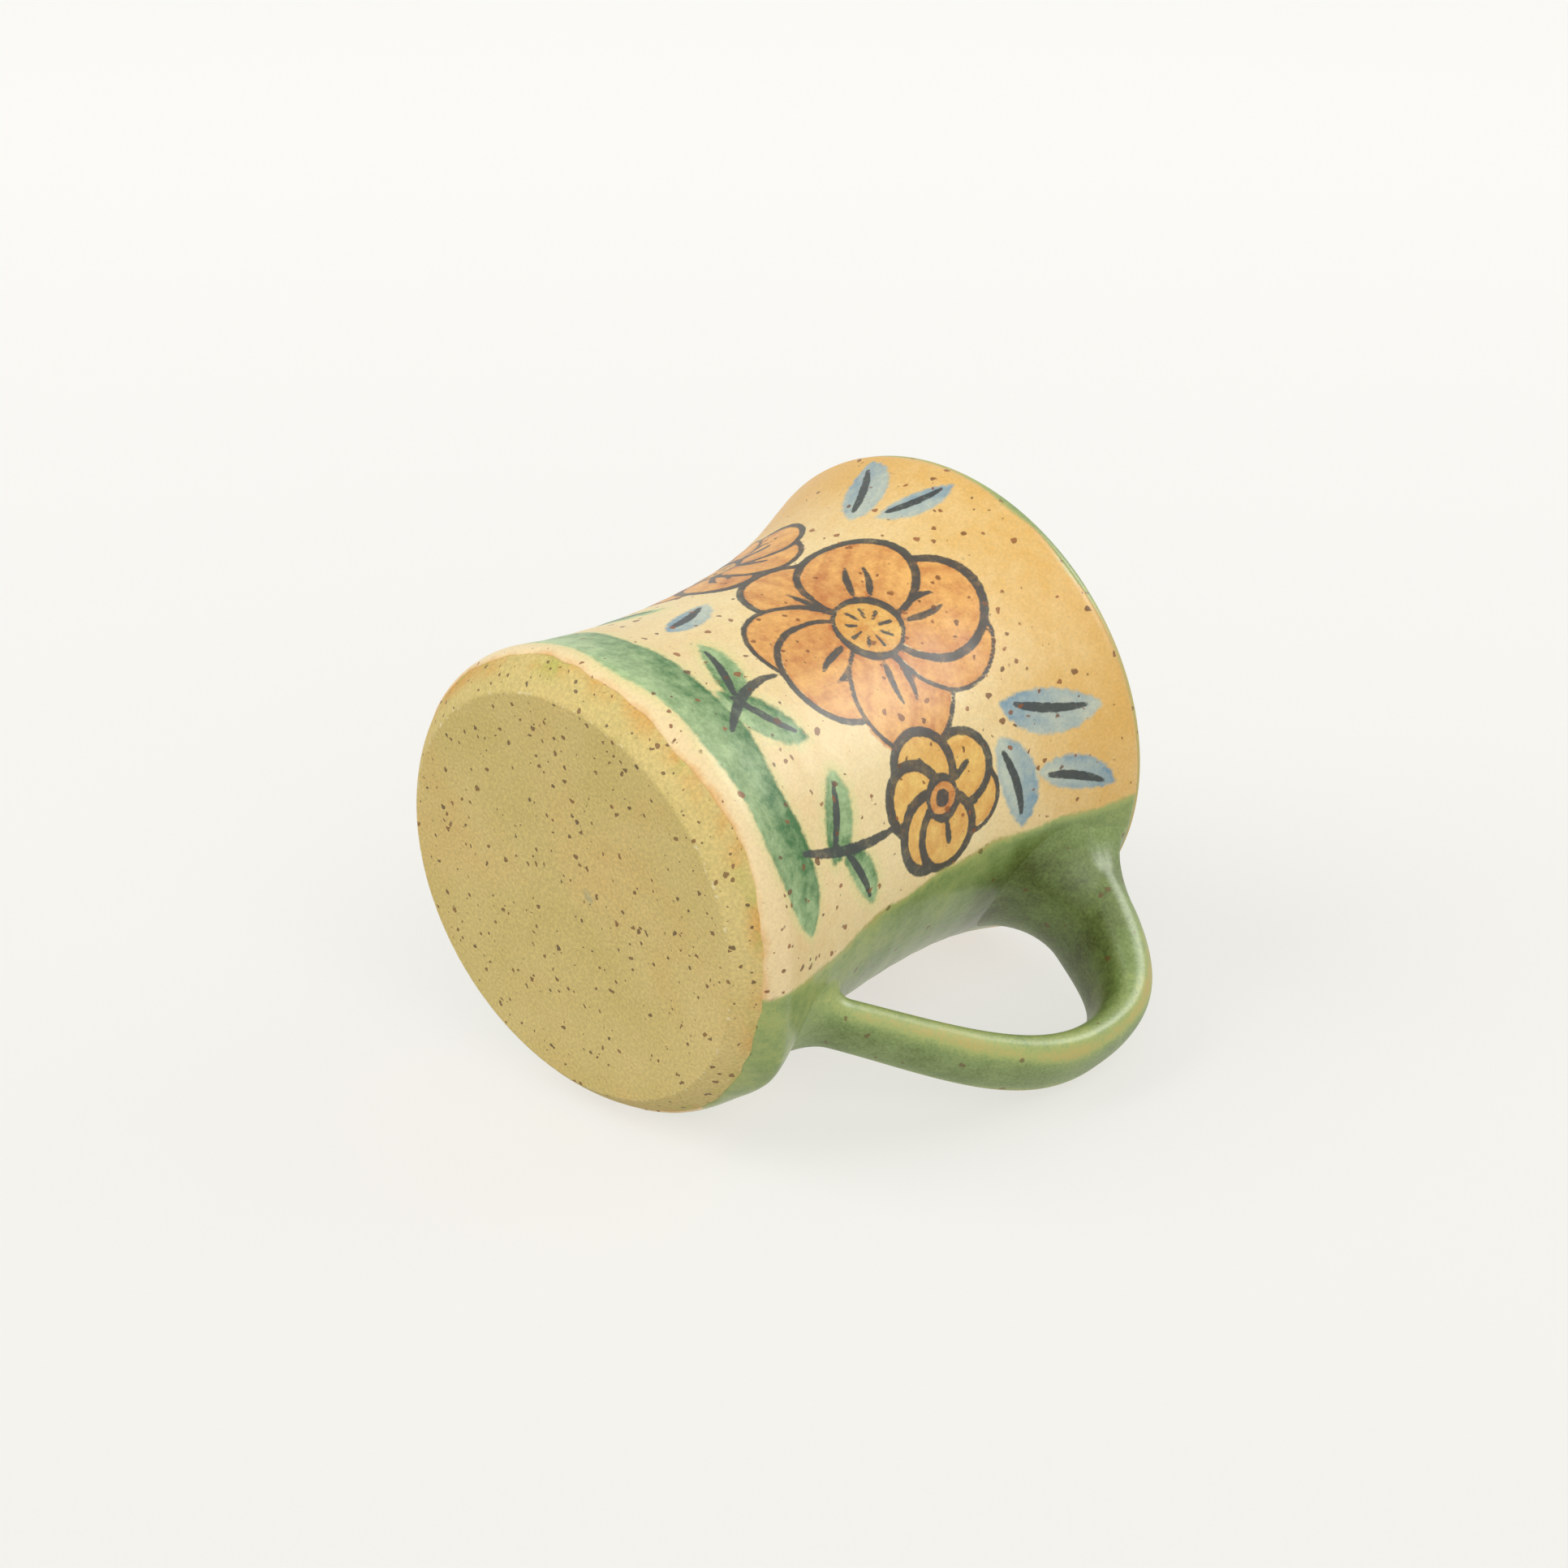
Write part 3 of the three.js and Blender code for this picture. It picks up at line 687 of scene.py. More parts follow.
# The bead wavers round the foot, and the handle's glaze ran down over a smear of joint clay below it.
line_shift = 0.45 * np.sin(2 * turn + 1.3) + 0.35 * np.sin(5 * turn + 0.4) + 0.22 * np.sin(11 * turn + 2)
line_shift += 0.13 * np.sin(23 * turn + 3 * np.sin(3 * turn)) + 0.07 * np.sin(47 * turn + 1)
line_shift -= 2.0 * hump(azimuth, -2, 22) + 1.2 * hump(azimuth, -36, 12)
above_line = up - GLAZE_LINE
new_up = up + line_shift * np.clip((16 - up) / 11, 0, 1)
smear = 2.0 * hump(azimuth, 0, 12) * hump(up, 9.5, 6) * eased(np.clip(above_line / 4, 0, 1))
new_girth = girth + wall_radius(new_up) - wall_radius(up) + smear
spots = np.column_stack([new_girth * np.cos(turn), new_girth * np.sin(turn), new_up])
wall.data.vertices.foreach_set("co", (spots * MM).ravel())
up = new_up
girth = new_girth

# Each stain is kept as the distance in millimetres from the edge of its brush strokes, negative inside, so
# that the material can draw crisp, ragged edges. Three more maps keep how the brush went: millimetres along
# its stroke, millimetres to the side of it, and how much stain it let go.
rng = np.random.default_rng(SEED)
paint = {name: np.full(len(up), 9.0) for name in ("leaf", "amber", "ochre", "blue", "ink", "strip")}
strokes = {"along": turn * girth, "beside": up.copy(), "load": np.full(len(up), 0.5)}


def around(azimuth_at, height_at, reach):
    """The wall near a place, rolled out flat: millimetres right of it and above it, and which points."""
    right = np.radians((azimuth - azimuth_at + 180) % 360 - 180) * girth
    rise = up - height_at
    near = np.flatnonzero((np.abs(right) < reach) & (np.abs(rise) < reach))
    return right[near], rise[near], near


def brush(right, rise, path, widths):
    """A stroke along a path: distance to its edge, and how far along it and beside it points are."""
    edge = np.full(len(right), 99.0)
    along = np.zeros(len(right))
    beside = np.zeros(len(right))
    done = 0.0
    for (ax, ay), (bx, by), wide, next_wide in zip(path, path[1:], widths, widths[1:]):
        length = math.hypot(bx - ax, by - ay)
        share = np.clip(((right - ax) * (bx - ax) + (rise - ay) * (by - ay)) / length**2, 0, 1)
        off = np.hypot(right - ax - share * (bx - ax), rise - ay - share * (by - ay))
        off -= (wide + share * (next_wide - wide)) / 2
        nearer = off < edge
        along = np.where(nearer, done + share * length, along)
        beside = np.where(nearer, ((rise - ay) * (bx - ax) - (right - ax) * (by - ay)) / length, beside)
        edge = np.minimum(edge, off)
        done += length
    return edge, along, beside


def drag(near, covers, along, beside, load):
    """Keeps how the brush went, where its stroke covers the wall."""
    start = 50 * rng.random()
    for name, values in (("along", along + start), ("beside", beside + start), ("load", load)):
        strokes[name][near] = np.where(covers, values, strokes[name][near])


def lay(stain, near, edge):
    """Adds a stroke to what is painted in a stain."""
    paint[stain][near] = np.minimum(paint[stain][near], edge)


def clear_for(near, edge, lap):
    """Wipes away what lies under a new shape, so that it stands in front. Its outline may lap over."""
    paint["ink"][near] = np.maximum(paint["ink"][near], -edge - 0.1)
    for stain in ("leaf", "amber", "ochre", "blue"):
        paint[stain][near] = np.maximum(paint[stain][near], -edge - lap)


def ink_line(right, rise, near, path, wide):
    """A dark line that starts thin, swells and ends thin."""
    swell = wide * np.array([0.55, 0.9, 1.0, 1.05, 0.95, 0.75, 0.45])
    lay("ink", near, brush(right, rise, path, swell)[0])


def petal(right, rise, near, path, widths, stain):
    """One loaded stroke of stain with a dark outline that doesn't quite keep to it, over what is there."""
    edge, along, beside = brush(right, rise, path, widths)
    wash = brush(right - rng.uniform(-0.7, 0.7), rise - rng.uniform(-0.7, 0.7), path, widths)[0]
    clear_for(near, edge, 0.3)
    lay(stain, near, wash + 0.1)
    load = 0.85 - 0.55 * along / along.max() + rng.uniform(-0.3, 0.3) * beside / max(widths)
    drag(near, edge < 0.6, along, beside, load)
    line = 0.72 + 0.34 * np.sin(along * rng.uniform(0.25, 0.5) + rng.uniform(0, 6))
    lay("ink", near, np.abs(edge + 0.1) - line)


LARGE_BLOOM = 14


def bloom(azimuth_at, height_at, reach, petals, stain, heart):
    """A round flower: petals with dark veins about a heart, which holds rays, or a dot if it is small."""
    right, rise, near = around(azimuth_at, height_at, reach * 1.3)
    first_turn = rng.uniform(0, 6)
    for number in range(petals):
        aim = first_turn + 2 * math.pi * (number + 0.12 * rng.normal()) / petals
        out = np.array([math.cos(aim), math.sin(aim)])
        side = np.array([-out[1], out[0]])
        wide = 2.05 * reach * math.sin(math.pi / petals) * rng.uniform(0.88, 1.0)
        tip = out * (reach * rng.uniform(0.92, 1.02) - wide / 2) + side * reach * rng.uniform(-0.05, 0.05)
        path = swept(out * reach * 0.15, out * reach * 0.3, (out + 0.1 * side) * reach * 0.45, tip, 8)
        swell = np.array([0.2, 0.38, 0.55, 0.7, 0.83, 0.93, 1.0, 1.0])
        petal(right, rise, near, path, wide * swell, stain)
        for lean in (-0.13, 0.13) if reach > LARGE_BLOOM else (0.0,):
            start = out * reach * 0.32 + side * reach * lean * 0.5
            end = start + out * reach * 0.32
            vein = swept(start, start + out * 2, start + out * 4 + side * lean * 6, end, 7)
            ink_line(right, rise, near, vein, 1.25)
    middle = np.hypot(right, rise) - reach * 0.27
    clear_for(near, middle, 0.0)
    lay(heart, near, middle + 0.2)
    lay("ink", near, np.abs(middle + 0.1) - 0.62 - 0.25 * np.sin(np.arctan2(rise, right) * 2 + first_turn))
    if reach < LARGE_BLOOM:
        lay("ink", near, middle + reach * 0.15)
    for aim in np.arange(first_turn, first_turn + 6, 0.7) if reach > LARGE_BLOOM else ():
        out = np.array([math.cos(aim), math.sin(aim)]) * reach
        lay("ink", near, brush(right, rise, (out * 0.09, out * rng.uniform(0.16, 0.19)), (0.5, 0.8))[0])


def leaf(azimuth_at, height_at, aim, length, stain):
    """A pressed-down brush mark with a dark vein."""
    right, rise, near = around(azimuth_at, height_at, length * 1.6)
    out = np.array([math.cos(aim), math.sin(aim)])
    side = np.array([-out[1], out[0]]) * rng.choice([-1, 1])
    tip = out * length + side * length * 0.18
    path = swept((0, 0), out * length * 0.3, out * length * 0.7 + side * 0.5, tip, 9)
    wide = length * rng.uniform(0.4, 0.5)
    swell = wide * np.array([0.2, 0.55, 0.82, 0.97, 1.0, 0.95, 0.8, 0.55, 0.2])
    edge, along, beside = brush(right, rise, path, swell)
    lay(stain, near, edge)
    heavy_end = rng.choice([-1, 1])
    load = 0.45 + heavy_end * 0.5 * (along / along.max() - 0.5) + 0.35 * beside / wide
    drag(near, edge < 1.0, along, beside, load)
    ink_line(right, rise, near, path[1:8] + side * 0.6, 1.6)


def stem(azimuth_at, top, foot, lean):
    """A dark stroke from the foot up to a bloom, bowed a little."""
    right, rise, near = around(azimuth_at, (top + foot) / 2, 40)
    half = (top - foot) / 2
    path = swept((lean, -half), (lean * 0.2, -half * 0.3), (-lean * 0.2, half * 0.3), (0, half), 7)
    ink_line(right, rise, near, path, 1.8)


# Each plant is a bloom, a stem with its top, foot and lean, and leaves with their place, aim and length. Blue
# marks fall between the plants. Stems are drawn first, then leaves, and blooms last, in front of them.
PLANTS = (
    ((-95, 56, 23, 7, "ochre", "amber"), (33, 16, 6), ((-96, 20, 0.45, 15), (-92, 22, 2.6, 14))),
    ((-46, 52, 13, 6, "amber", "ochre"), (42, 17, -5), ((-47, 24, 2.5, 14), (-49, 27, 0.6, 13))),
    ((46, 60, 15, 6, "amber", "ochre"), (47, 16, 5), ((48, 26, 0.6, 14), (46, 33, 2.4, 14))),
    ((100, 52, 22, 8, "ochre", "amber"), (31, 15, -5), ((99, 20, 2.6, 15), (102, 21, 0.5, 14))),
    (
        (150, 63, 14.5, 6, "amber", "ochre"), (50, 16, 4),
        ((151, 28, 0.7, 15), (149, 36, 2.4, 14), (152, 41, 0.6, 11)),
    ),
    ((-153, 57, 17, 7, "ochre", "amber"), (40, 16, 4), ((-152, 25, 2.5, 14), (-154, 26, 0.6, 13))),
)
BLUE_MARKS = (
    (-60, 70, 1.0, 18), (-52, 67, 0.35, 16), (-40, 74, 1.3, 15), (-128, 76, 1.9, 16), (-122, 78, 0.9, 13),
    (-123, 27, 1.7, 13), (74, 74, 1.2, 16), (70, 76, 2.4, 13), (124, 77, 1.7, 15), (125, 21, 1.2, 12),
    (176, 76, 1.2, 15), (171, 77, 2.2, 13), (72, 20, 1.8, 12),
)
for flower, stalk, leaves in PLANTS:
    stem(flower[0], *stalk)
for flower, stalk, leaves in PLANTS:
    for mark in leaves:
        leaf(*mark, "leaf")
for mark in BLUE_MARKS:
    leaf(*mark, "blue")
for flower, stalk, leaves in PLANTS:
    bloom(*flower)

# A broad brush of green goes once round above the foot, and lifts off before the handle.
band_middle = 14 + 0.7 * np.sin(2 * turn + 2) + 0.4 * np.sin(7 * turn)
band_half = 5.0 + 0.6 * np.sin(3 * turn + 1) + 0.35 * np.sin(13 * turn + 2)
band_half -= 6 * np.clip((46 - np.abs(azimuth)) / 14, 0, 1) ** 2
band = np.abs(up - band_middle) - band_half
band_load = 0.36 + 0.3 * (up - band_middle) / 5 + 0.12 * np.sin(3 * turn) + 0.4 * hump(azimuth, -54, 15)
strokes["load"] = np.where(band < paint["leaf"], band_load, strokes["load"])
paint["leaf"] = np.minimum(paint["leaf"], band)

# The green strip is widest at the waist, where the dipped handle was turned, and the lip wears green too.
LAP_LINE = 95.4
STRIP_HEIGHTS = (0, 4, 6, 8.5, 15, 21, 24, 29, 37, 50, 66, 80, 95)
STRIP_ANGLES = (24, 24.2, 24.4, 25, 24, 21.5, 22, 24.3, 25.4, 25.8, 25.8, 25.4, 25)
strip_angle = np.interp(up, STRIP_HEIGHTS, STRIP_ANGLES)
strip_angle += 0.5 * np.sin(up / 2.3 + np.sign(turn)) + 0.4 * np.sin(up / 5 + turn * 9)
paint["strip"] = np.radians(np.abs(azimuth) - strip_angle) * girth


def lapped(turn):
    """Where the liner's glaze ran out over the lip, from 0 to 1 round the cup."""
    return eased(np.clip(0.2 + 0.8 * np.cos(2 * turn + 3.32) + 0.2 * np.sin(7 * turn), 0, 1))


lap_line = LAP_LINE - 3.0 * lapped(turn) + 0.5 * np.sin(17 * turn) * np.sin(5 * turn)
paint["strip"] = np.minimum(paint["strip"], lap_line - up)
keep(wall.data, {**paint, **strokes, "above_line": above_line, "pooled_and_shaded": pool_depth(spots)})

# Clear satin glaze over stain: warm cream, golden towards the lip, paler at the foot and toasted where it
# stops. The stains sank in as watery washes that keep the drag of the brush, the green one granular with a
# lime halo, and rust-brown iron bled up through everything. The grain is drawn coarser than it is, to show.
tree = clear.node_tree
place = add(tree, "ShaderNodeTexCoord")["Object"]
height = add(tree, "ShaderNodeSeparateXYZ", {0: place})["Z"]
field = {
    name: add(tree, "ShaderNodeAttribute", attribute_name=name)["Fac"]
    for name in (*paint, *strokes, "above_line", "pooled_and_shaded")
}
cloud = add(
    tree, "ShaderNodeTexNoise", {"Vector": place, "Scale": 1 / (24 * MM), "Detail": 4.0, "Roughness": 0.6},
)["Fac"]
granular = add(
    tree, "ShaderNodeTexNoise",
    {"Vector": place, "Scale": 1 / (2.6 * MM), "Detail": 5.0, "Roughness": 0.72},
)["Fac"]
granular = add(tree, "ShaderNodeMath", {0: granular, 1: 0.5}, operation="SUBTRACT")[0]
golden = add(
    tree, "ShaderNodeMapRange", {"Value": height, "From Min": 55 * MM, "From Max": 94 * MM},
    interpolation_type="SMOOTHSTEP",
)["Result"]
golden = add(tree, "ShaderNodeMath", {0: cloud, 1: 1.3, 2: golden}, operation="MULTIPLY_ADD")[0]
golden = add(tree, "ShaderNodeMath", {0: granular, 1: 0.8, 2: golden}, operation="MULTIPLY_ADD")[0]
golden = add(tree, "ShaderNodeMapRange", {"Value": golden, "From Min": 0.5, "From Max": 1.65})["Result"]
colour = add(
    tree, "ShaderNodeMix", {0: golden, 6: linear("f6e0aa"), 7: linear("e4b665")}, data_type="RGBA",
)[2]
pale_foot = add(
    tree, "ShaderNodeMapRange",
    {"Value": field["above_line"], "From Min": 7.0, "From Max": 2.5, "To Max": 0.75},
    interpolation_type="SMOOTHSTEP",
)["Result"]
colour = add(tree, "ShaderNodeMix", {0: pale_foot, 6: colour, 7: linear("f6ddab")}, data_type="RGBA")[2]
toasted = add(
    tree, "ShaderNodeTexNoise", {"Vector": place, "Scale": 1 / (7 * MM), "Detail": 3.0, "Roughness": 0.6},
)["Fac"]
toasted = add(tree, "ShaderNodeMath", {0: toasted, 1: -4.0, 2: 3.0}, operation="MULTIPLY_ADD")[0]
toasted = add(tree, "ShaderNodeMath", {0: toasted, 1: field["above_line"]}, operation="ADD")[0]
toasted = add(
    tree, "ShaderNodeMapRange", {"Value": toasted, "From Min": 2.0, "From Max": 0.0, "To Max": 0.75},
    interpolation_type="SMOOTHSTEP",
)["Result"]
colour = add(tree, "ShaderNodeMix", {0: toasted, 6: colour, 7: linear("dda254")}, data_type="RGBA")[2]
ragged = add(
    tree, "ShaderNodeTexNoise", {"Vector": place, "Scale": 1 / (1.1 * MM), "Detail": 3.0, "Roughness": 0.6},
)["Fac"]
ragged = add(tree, "ShaderNodeMath", {0: ragged, 1: 0.5}, operation="SUBTRACT")[0]
wander = add(tree, "ShaderNodeMath", {0: cloud, 1: 3.0, 2: field["beside"]}, operation="MULTIPLY_ADD")[0]
dragged = add(tree, "ShaderNodeCombineXYZ", {0: wander, 1: field["along"]})[0]
dragged = add(tree, "ShaderNodeVectorMath", {0: dragged, 1: (0.33, 0.1, 1.0)}, operation="MULTIPLY")[0]
dragged = add(
    tree, "ShaderNodeTexNoise", {"Vector": dragged, "Scale": 1.0, "Detail": 2.0, "Roughness": 0.5},
)["Fac"]
dragged = add(tree, "ShaderNodeMath", {0: dragged, 1: 0.5}, operation="SUBTRACT")[0]
halo = add(tree, "ShaderNodeMath", {0: granular, 1: 3.0, 2: field["leaf"]}, operation="MULTIPLY_ADD")[0]
halo = add(
    tree, "ShaderNodeMapRange", {"Value": halo, "From Min": 2.6, "From Max": 0.0, "To Max": 0.6},
    interpolation_type="SMOOTHSTEP",
)["Result"]
colour = add(tree, "ShaderNodeMix", {0: halo, 6: colour, 7: linear("e4dc98")}, data_type="RGBA")[2]
for name, watery, strong, cover, softness, streaky, grainy in (
    ("leaf", "b4d098", "14692f", 0.95, 0.5, 0.5, 1.8),
    ("amber", "f5cb6e", "cf7f22", 0.92, 0.35, 1.1, 1.5),
    ("ochre", "f1b765", "b4551a", 0.95, 0.35, 1.2, 1.5),
    ("blue", "c8d3bf", "5892b0", 0.86, 0.45, 0.9, 1.1),
):
    edge = add(tree, "ShaderNodeMath", {0: ragged, 1: 1.3, 2: field[name]}, operation="MULTIPLY_ADD")[0]
    rim = add(
        tree, "ShaderNodeMapRange",
        {"Value": edge, "From Min": -1.4, "From Max": -0.2, "To Max": 0.12},
        interpolation_type="SMOOTHSTEP",
    )["Result"]
    load = add(
        tree, "ShaderNodeMath", {0: dragged, 1: streaky, 2: field["load"]}, operation="MULTIPLY_ADD",
    )[0]
    load = add(tree, "ShaderNodeMath", {0: granular, 1: grainy, 2: load}, operation="MULTIPLY_ADD")[0]
    load = add(tree, "ShaderNodeMath", {0: load, 1: rim}, operation="ADD", use_clamp=True)[0]
    stain = add(
        tree, "ShaderNodeMix", {0: load, 6: linear(watery), 7: linear(strong)}, data_type="RGBA",
    )[2]
    covered = add(
        tree, "ShaderNodeMapRange",
        {"Value": edge, "From Min": softness, "From Max": -softness, "To Max": cover},
        interpolation_type="SMOOTHSTEP",
    )["Result"]
    colour = add(tree, "ShaderNodeMix", {0: covered, 6: colour, 7: stain}, data_type="RGBA")[2]
edge = add(tree, "ShaderNodeMath", {0: ragged, 1: 0.55, 2: field["ink"]}, operation="MULTIPLY_ADD")[0]
inked = add(
    tree, "ShaderNodeMapRange", {"Value": edge, "From Min": 0.14, "From Max": -0.14, "To Max": 0.95},
    interpolation_type="SMOOTHSTEP",
)["Result"]
dry = add(
    tree, "ShaderNodeMapRange", {"Value": granular, "From Min": -0.2, "From Max": 0.0, "To Min": 0.8},
)["Result"]
inked = add(tree, "ShaderNodeMath", {0: inked, 1: dry}, operation="MULTIPLY", use_clamp=True)[0]
dark = add(tree, "ShaderNodeMix", {0: cloud, 6: linear("2d3334"), 7: linear("474b48")}, data_type="RGBA")[2]
colour = add(tree, "ShaderNodeMix", {0: inked, 6: colour, 7: dark}, data_type="RGBA")[2]
grit = add(tree, "ShaderNodeGroup", {
    "Place": place, "Spacing": 2.1 * MM, "Drift Size": 1.4 * MM, "Drift": 1.2 * MM,
    "Rarity": 3.0, "Smallest": 0.0, "Largest": 0.26, "Blur": 0.09,
}, node_tree=iron_grit)
rust = add(
    tree, "ShaderNodeMix", {0: grit["Tone"], 6: linear("99592b"), 7: linear("5f371b")}, data_type="RGBA",
)[2]
speck = add(tree, "ShaderNodeMath", {0: grit["Speck"], 1: 0.85}, operation="MULTIPLY")[0]
colour = add(tree, "ShaderNodeMix", {0: speck, 6: colour, 7: rust}, data_type="RGBA")[2]
edge = add(tree, "ShaderNodeMath", {0: ragged, 1: 1.2, 2: field["strip"]}, operation="MULTIPLY_ADD")[0]
strip = add(
    tree, "ShaderNodeMapRange", {"Value": edge, "From Min": 0.45, "From Max": -0.55},
    interpolation_type="SMOOTHSTEP",
)["Result"]
thin = add(
    tree, "ShaderNodeMapRange", {"Value": edge, "From Min": -2.2, "From Max": 0.3, "To Max": 0.55},
    interpolation_type="SMOOTHSTEP",
)["Result"]
run_thin = add(
    tree, "ShaderNodeMapRange",
    {"Value": field["above_line"], "From Min": 9.0, "From Max": 2.0, "To Max": 0.25},
)["Result"]
thin = add(tree, "ShaderNodeMath", {0: thin, 1: run_thin}, operation="MAXIMUM")[0]
glaze = add(
    tree, "ShaderNodeGroup", {"Place": place, "Thin": thin, "Pooled And Shaded": field["pooled_and_shaded"]},
    node_tree=green_glaze,
)
colour = add(tree, "ShaderNodeMix", {0: strip, 6: colour, 7: glaze["Color"]}, data_type="RGBA")[2]
grain = add(tree, "ShaderNodeTexNoise", {"Vector": place, "Scale": 1 / (0.5 * MM), "Detail": 1.0})["Fac"]
grainy = add(
    tree, "ShaderNodeMapRange",
    {"Value": grain, "From Min": 0.25, "From Max": 0.75, "To Min": 0.92, "To Max": 1.06},
)["Result"]
colour = add(tree, "ShaderNodeVectorMath", {0: colour, "Scale": grainy}, operation="SCALE")[0]
skin_height = add(
    tree, "ShaderNodeMath", {0: grain, 1: 0.12, 2: glaze["Height"]}, operation="MULTIPLY_ADD",
)[0]
ripple = add(tree, "ShaderNodeBump", {"Height": skin_height, "Strength": 0.4, "Distance": 0.2 * MM})[0]
rough = add(tree, "ShaderNodeMapRange", {"Value": strip, "To Min": 0.38, "To Max": 0.26})["Result"]
shader = tree.nodes["Principled BSDF"]
shader.inputs["IOR"].default_value = 1.4
for value, name in ((colour, "Base Color"), (rough, "Roughness"), (ripple, "Normal")):
    tree.links.new(value, shader.inputs[name])

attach(wall, "root")
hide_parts("wall_glaze")


# The liner. Green glaze poured into the cup, swirled round and poured out, so that it coats the inside and
# laps over the lip, where it runs thin and lets the clay's tan show.
LINER_COAT = 0.45
LINER_ROOT = 1.0
LAP_ANGLES = (16, 160)
over = np.array([
    lip(math.radians(angle), LINER_COAT * min(1, (angle - LAP_ANGLES[0]) / 30 + 0.15))
    for angle in np.linspace(*LAP_ANGLES, 30)
])
lie = np.gradient(inside, axis=0)
lie /= np.linalg.norm(lie, axis=1)[:, None]
facing = np.column_stack([lie[:, 1], -lie[:, 0]])
poured = inside + LINER_COAT * facing
poured[-1] = (0, FLOOR_HEIGHT + LINER_COAT)
under = (inside - LINER_ROOT * facing)[::6]
under[:, 0] = np.maximum(under[:, 0], 0)
profile = np.vstack([
    over, poured[1:], [(0, FLOOR_HEIGHT - LINER_ROOT)], under[::-1][1:], [lip(0.6, -LINER_ROOT)], over[:1],
])
liner = throw("liner", profile, 192, green)
spots = np.empty(len(liner.data.vertices) * 3)
liner.data.vertices.foreach_get("co", spots)
x, y, up = spots.reshape(-1, 3).T / MM
thin = np.clip((up - 91) / 2.5, 0, 1) * (1 - lapped(np.arctan2(y, x)))
pooled_and_shaded = 0.6 * np.clip((16 - up) / 9, 0, 1)
keep(liner.data, {"thin": thin, "pooled_and_shaded": pooled_and_shaded})
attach(liner, "root")
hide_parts("liner_glaze")


# The floor under the lying mug: a sweep of pale paper, a little brighter far away. It is partly lit and
# partly glows for the eye, so that shadows stay soft, and it is open from behind.
BACKDROP = "f7f6f1"
FLOOR_DEPTH = 41.2
FLOOR_REACH = 3000.0
camera_right = Vector((0.6445, -0.3636, 0.6726))
camera_up = Vector((-0.7209, -0.5821, 0.3762))
camera_back = Vector((0.2547, -0.7274, -0.6372))
floor_down = Vector((0.5299, 0.8480, -0.0412)).normalized()
floor_up = -floor_down
floor_near = camera_right.cross(floor_up).normalized()
floor_right = floor_up.cross(floor_near).normalized()
floor_mesh = bpy.data.meshes.new("floor")
floor_corners = [
    (floor_down * FLOOR_DEPTH + (floor_right * x + floor_near * y) * FLOOR_REACH) * MM
    for x, y in ((-1, -1), (1, -1), (1, 1), (-1, 1))
]
floor_mesh.from_pydata(floor_corners, [], [(0, 3, 2, 1)])
floor = bpy.data.objects.new("floor", floor_mesh)
bpy.context.scene.collection.objects.link(floor)
floor.visible_diffuse = False
floor.visible_shadow = False


def seen_by_eye(tree):
    """1 for what the camera sees, also in a gloss or through glass, and 0 for the light on other things."""
    path = add(tree, "ShaderNodeLightPath")
    seen = path["Is Camera Ray"]
    for kind in ("Is Glossy Ray", "Is Transmission Ray"):
        seen = add(tree, "ShaderNodeMath", {0: seen, 1: path[kind]}, operation="MAXIMUM")[0]
    return seen


paper = bpy.data.materials.new("pale_paper_sweep")
paper.use_nodes = True
tree = paper.node_tree
place = add(tree, "ShaderNodeTexCoord")["Object"]
nearness = add(
    tree, "ShaderNodeVectorMath", {0: place, 1: tuple(floor_near)}, operation="DOT_PRODUCT",
)["Value"]
nearness = add(
    tree, "ShaderNodeMapRange", {"Value": nearness, "From Min": -0.55, "From Max": 0.25},
)["Result"]
pale = add(
    tree, "ShaderNodeMix", {0: nearness, 6: linear("fcfbf7"), 7: linear("f2f1ec")}, data_type="RGBA",
)[2]
far = add(tree, "ShaderNodeVectorMath", {0: place}, operation="LENGTH")["Value"]
far = add(
    tree, "ShaderNodeMapRange", {"Value": far, "From Min": 0.5, "From Max": 1.2},
    interpolation_type="SMOOTHSTEP",
)["Result"]
pale = add(tree, "ShaderNodeMix", {0: far, 6: pale, 7: linear(BACKDROP)}, data_type="RGBA")[2]
evened = add(tree, "ShaderNodeMapRange", {"Value": far, "To Min": 0.69})["Result"]
evened = add(tree, "ShaderNodeMath", {0: seen_by_eye(tree), 1: evened}, operation="MULTIPLY")[0]
lit = add(tree, "ShaderNodeBsdfDiffuse", {"Color": pale})[0]
glow = add(tree, "ShaderNodeEmission", {"Color": pale, "Strength": 1.0})[0]
sweep = add(tree, "ShaderNodeMixShader", {0: evened, 1: lit, 2: glow})[0]
behind = add(tree, "ShaderNodeNewGeometry")["Backfacing"]
open_back = add(tree, "ShaderNodeBsdfTransparent")[0]
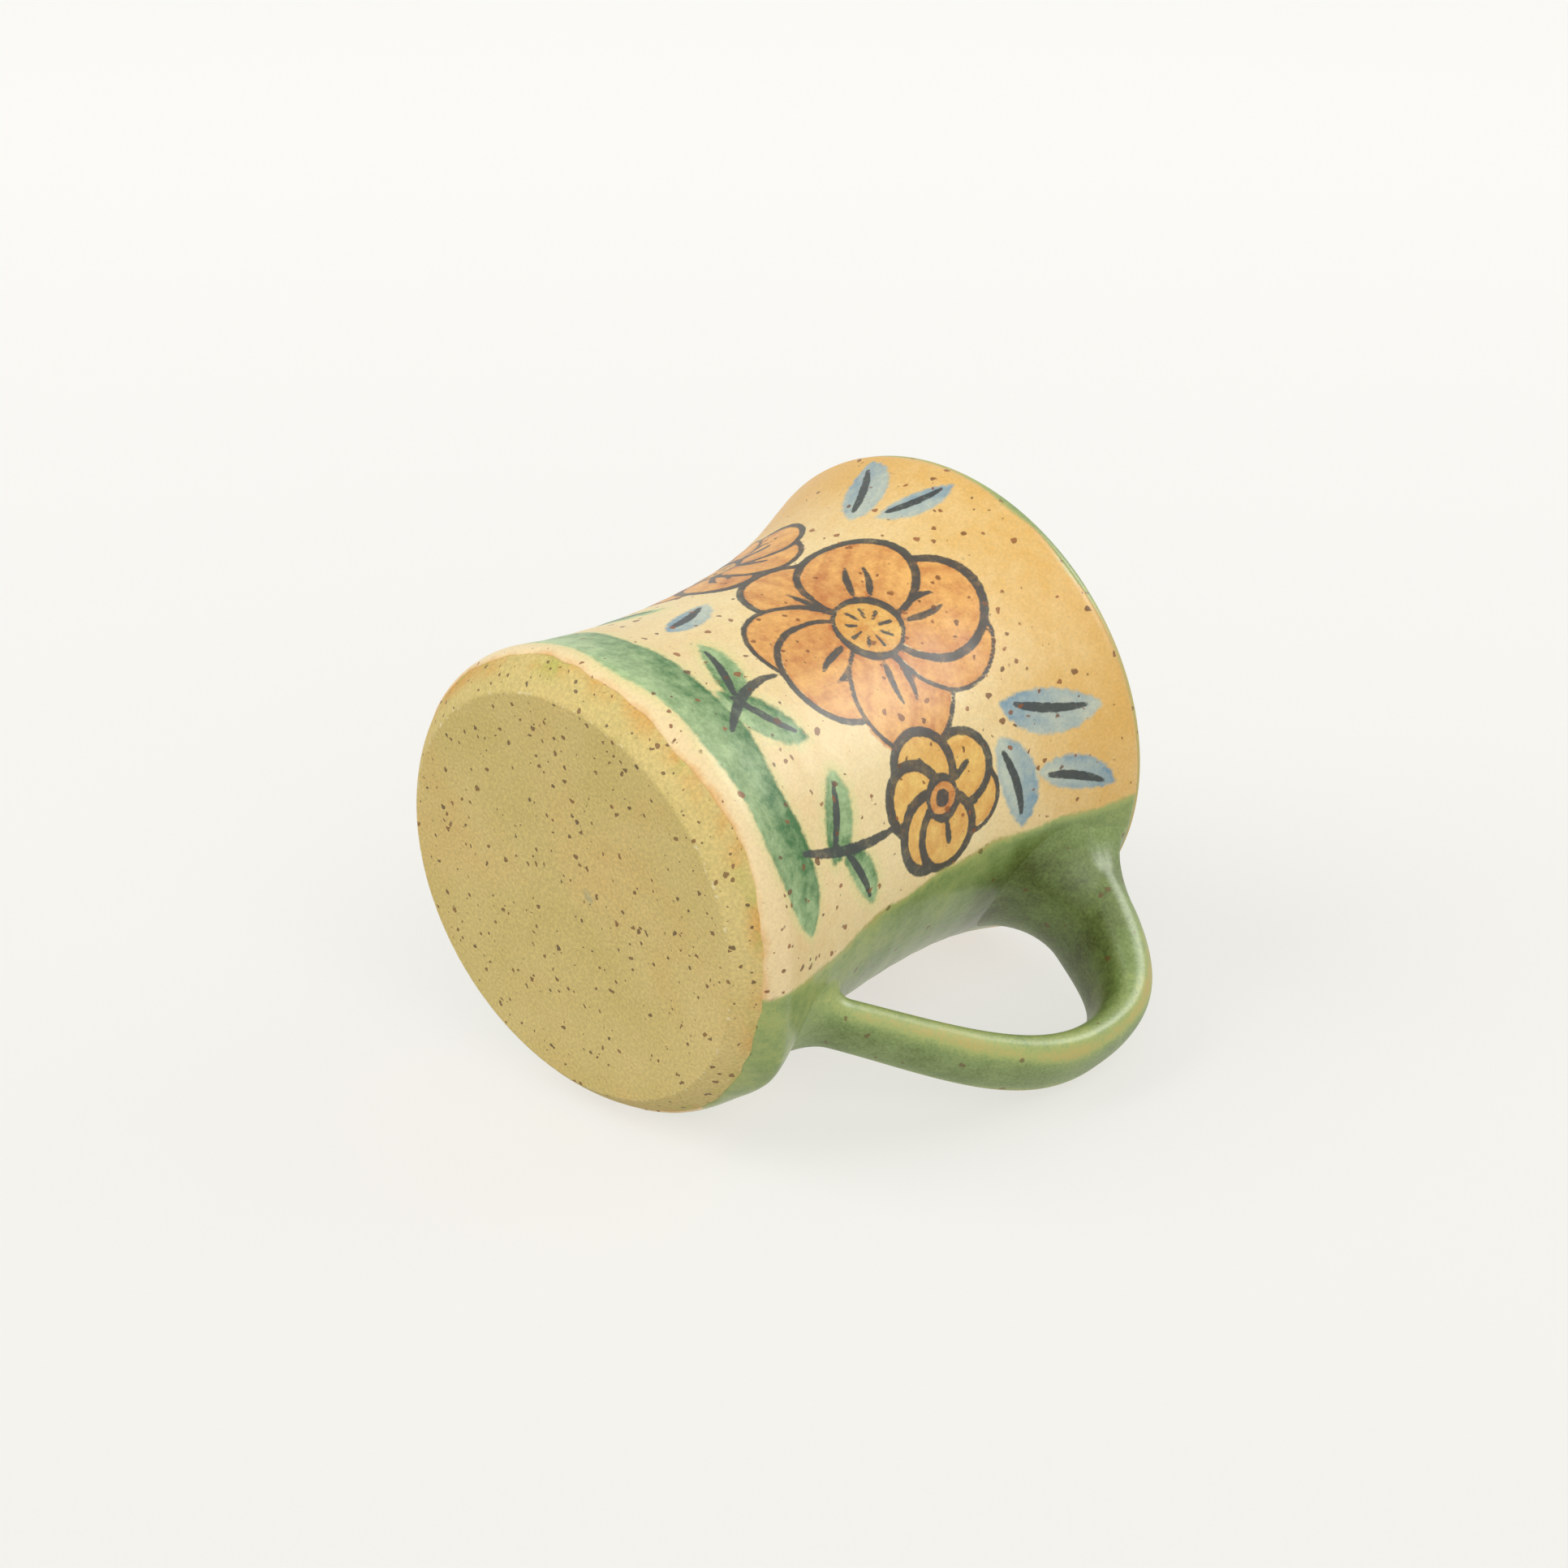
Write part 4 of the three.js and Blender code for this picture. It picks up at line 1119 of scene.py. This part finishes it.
sweep = add(tree, "ShaderNodeMixShader", {0: behind, 1: sweep, 2: open_back})[0]
tree.nodes.remove(tree.nodes["Principled BSDF"])
tree.links.new(sweep, tree.nodes["Material Output"].inputs["Surface"])
floor_mesh.materials.append(paper)

# The studio: a pale room, large softboxes on the left, in front and on the right, and a white card on the
# right that shows only in the glaze's gloss. Lamps are placed by shares to the floor's right, up and near.
world = bpy.data.worlds.new("studio")
bpy.context.scene.world = world
world.use_nodes = True
tree = world.node_tree
background = tree.nodes["Background"]
background.inputs["Color"].default_value = (1.0, 0.99, 0.97, 1.0)
background.inputs["Strength"].default_value = 0.5
pale = add(tree, "ShaderNodeBackground", {"Color": linear(BACKDROP), "Strength": 1.0})[0]
either = add(tree, "ShaderNodeMixShader", {0: seen_by_eye(tree), 1: background.outputs[0], 2: pale})[0]
tree.links.new(either, tree.nodes["World Output"].inputs["Surface"])

for name, right, rise, near, disc, strength, lights_matt in (
    ("softbox_left", -0.8, 0.74, 0.12, 40, 1.12, True),
    ("softbox_front", 0.25, 0.62, 0.9, 60, 1.15, True),
    ("softbox_right", 0.77, 0.62, -0.15, 34, 0.3, True),
    ("gloss_card", 0.77, 0.62, -0.15, 34, 2.2, False),
):
    lamp = bpy.data.lights.new(name, "SUN")
    lamp.angle = math.radians(disc)
    lamp.energy = strength
    stand = bpy.data.objects.new(name, lamp)
    spot = floor_right * right + floor_up * rise + floor_near * near
    stand.matrix_world = (-spot).to_track_quat("-Z", "Y").to_matrix().to_4x4()
    stand.visible_diffuse = lights_matt
    bpy.context.scene.collection.objects.link(stand)

# The camera, at the photograph's angle.
CAMERA_AT = Vector((157.9, -449.0, -342.0))
lens = bpy.data.cameras.new("camera")
lens.sensor_width = 36.0
lens.lens = 82.73
camera = bpy.data.objects.new("camera", lens)
axes = Matrix((camera_right, camera_up, camera_back)).transposed().to_4x4()
camera.matrix_world = Matrix.Translation(CAMERA_AT * MM) @ axes
bpy.context.scene.collection.objects.link(camera)
bpy.context.scene.camera = camera
bpy.context.scene.view_settings.view_transform = "Standard"
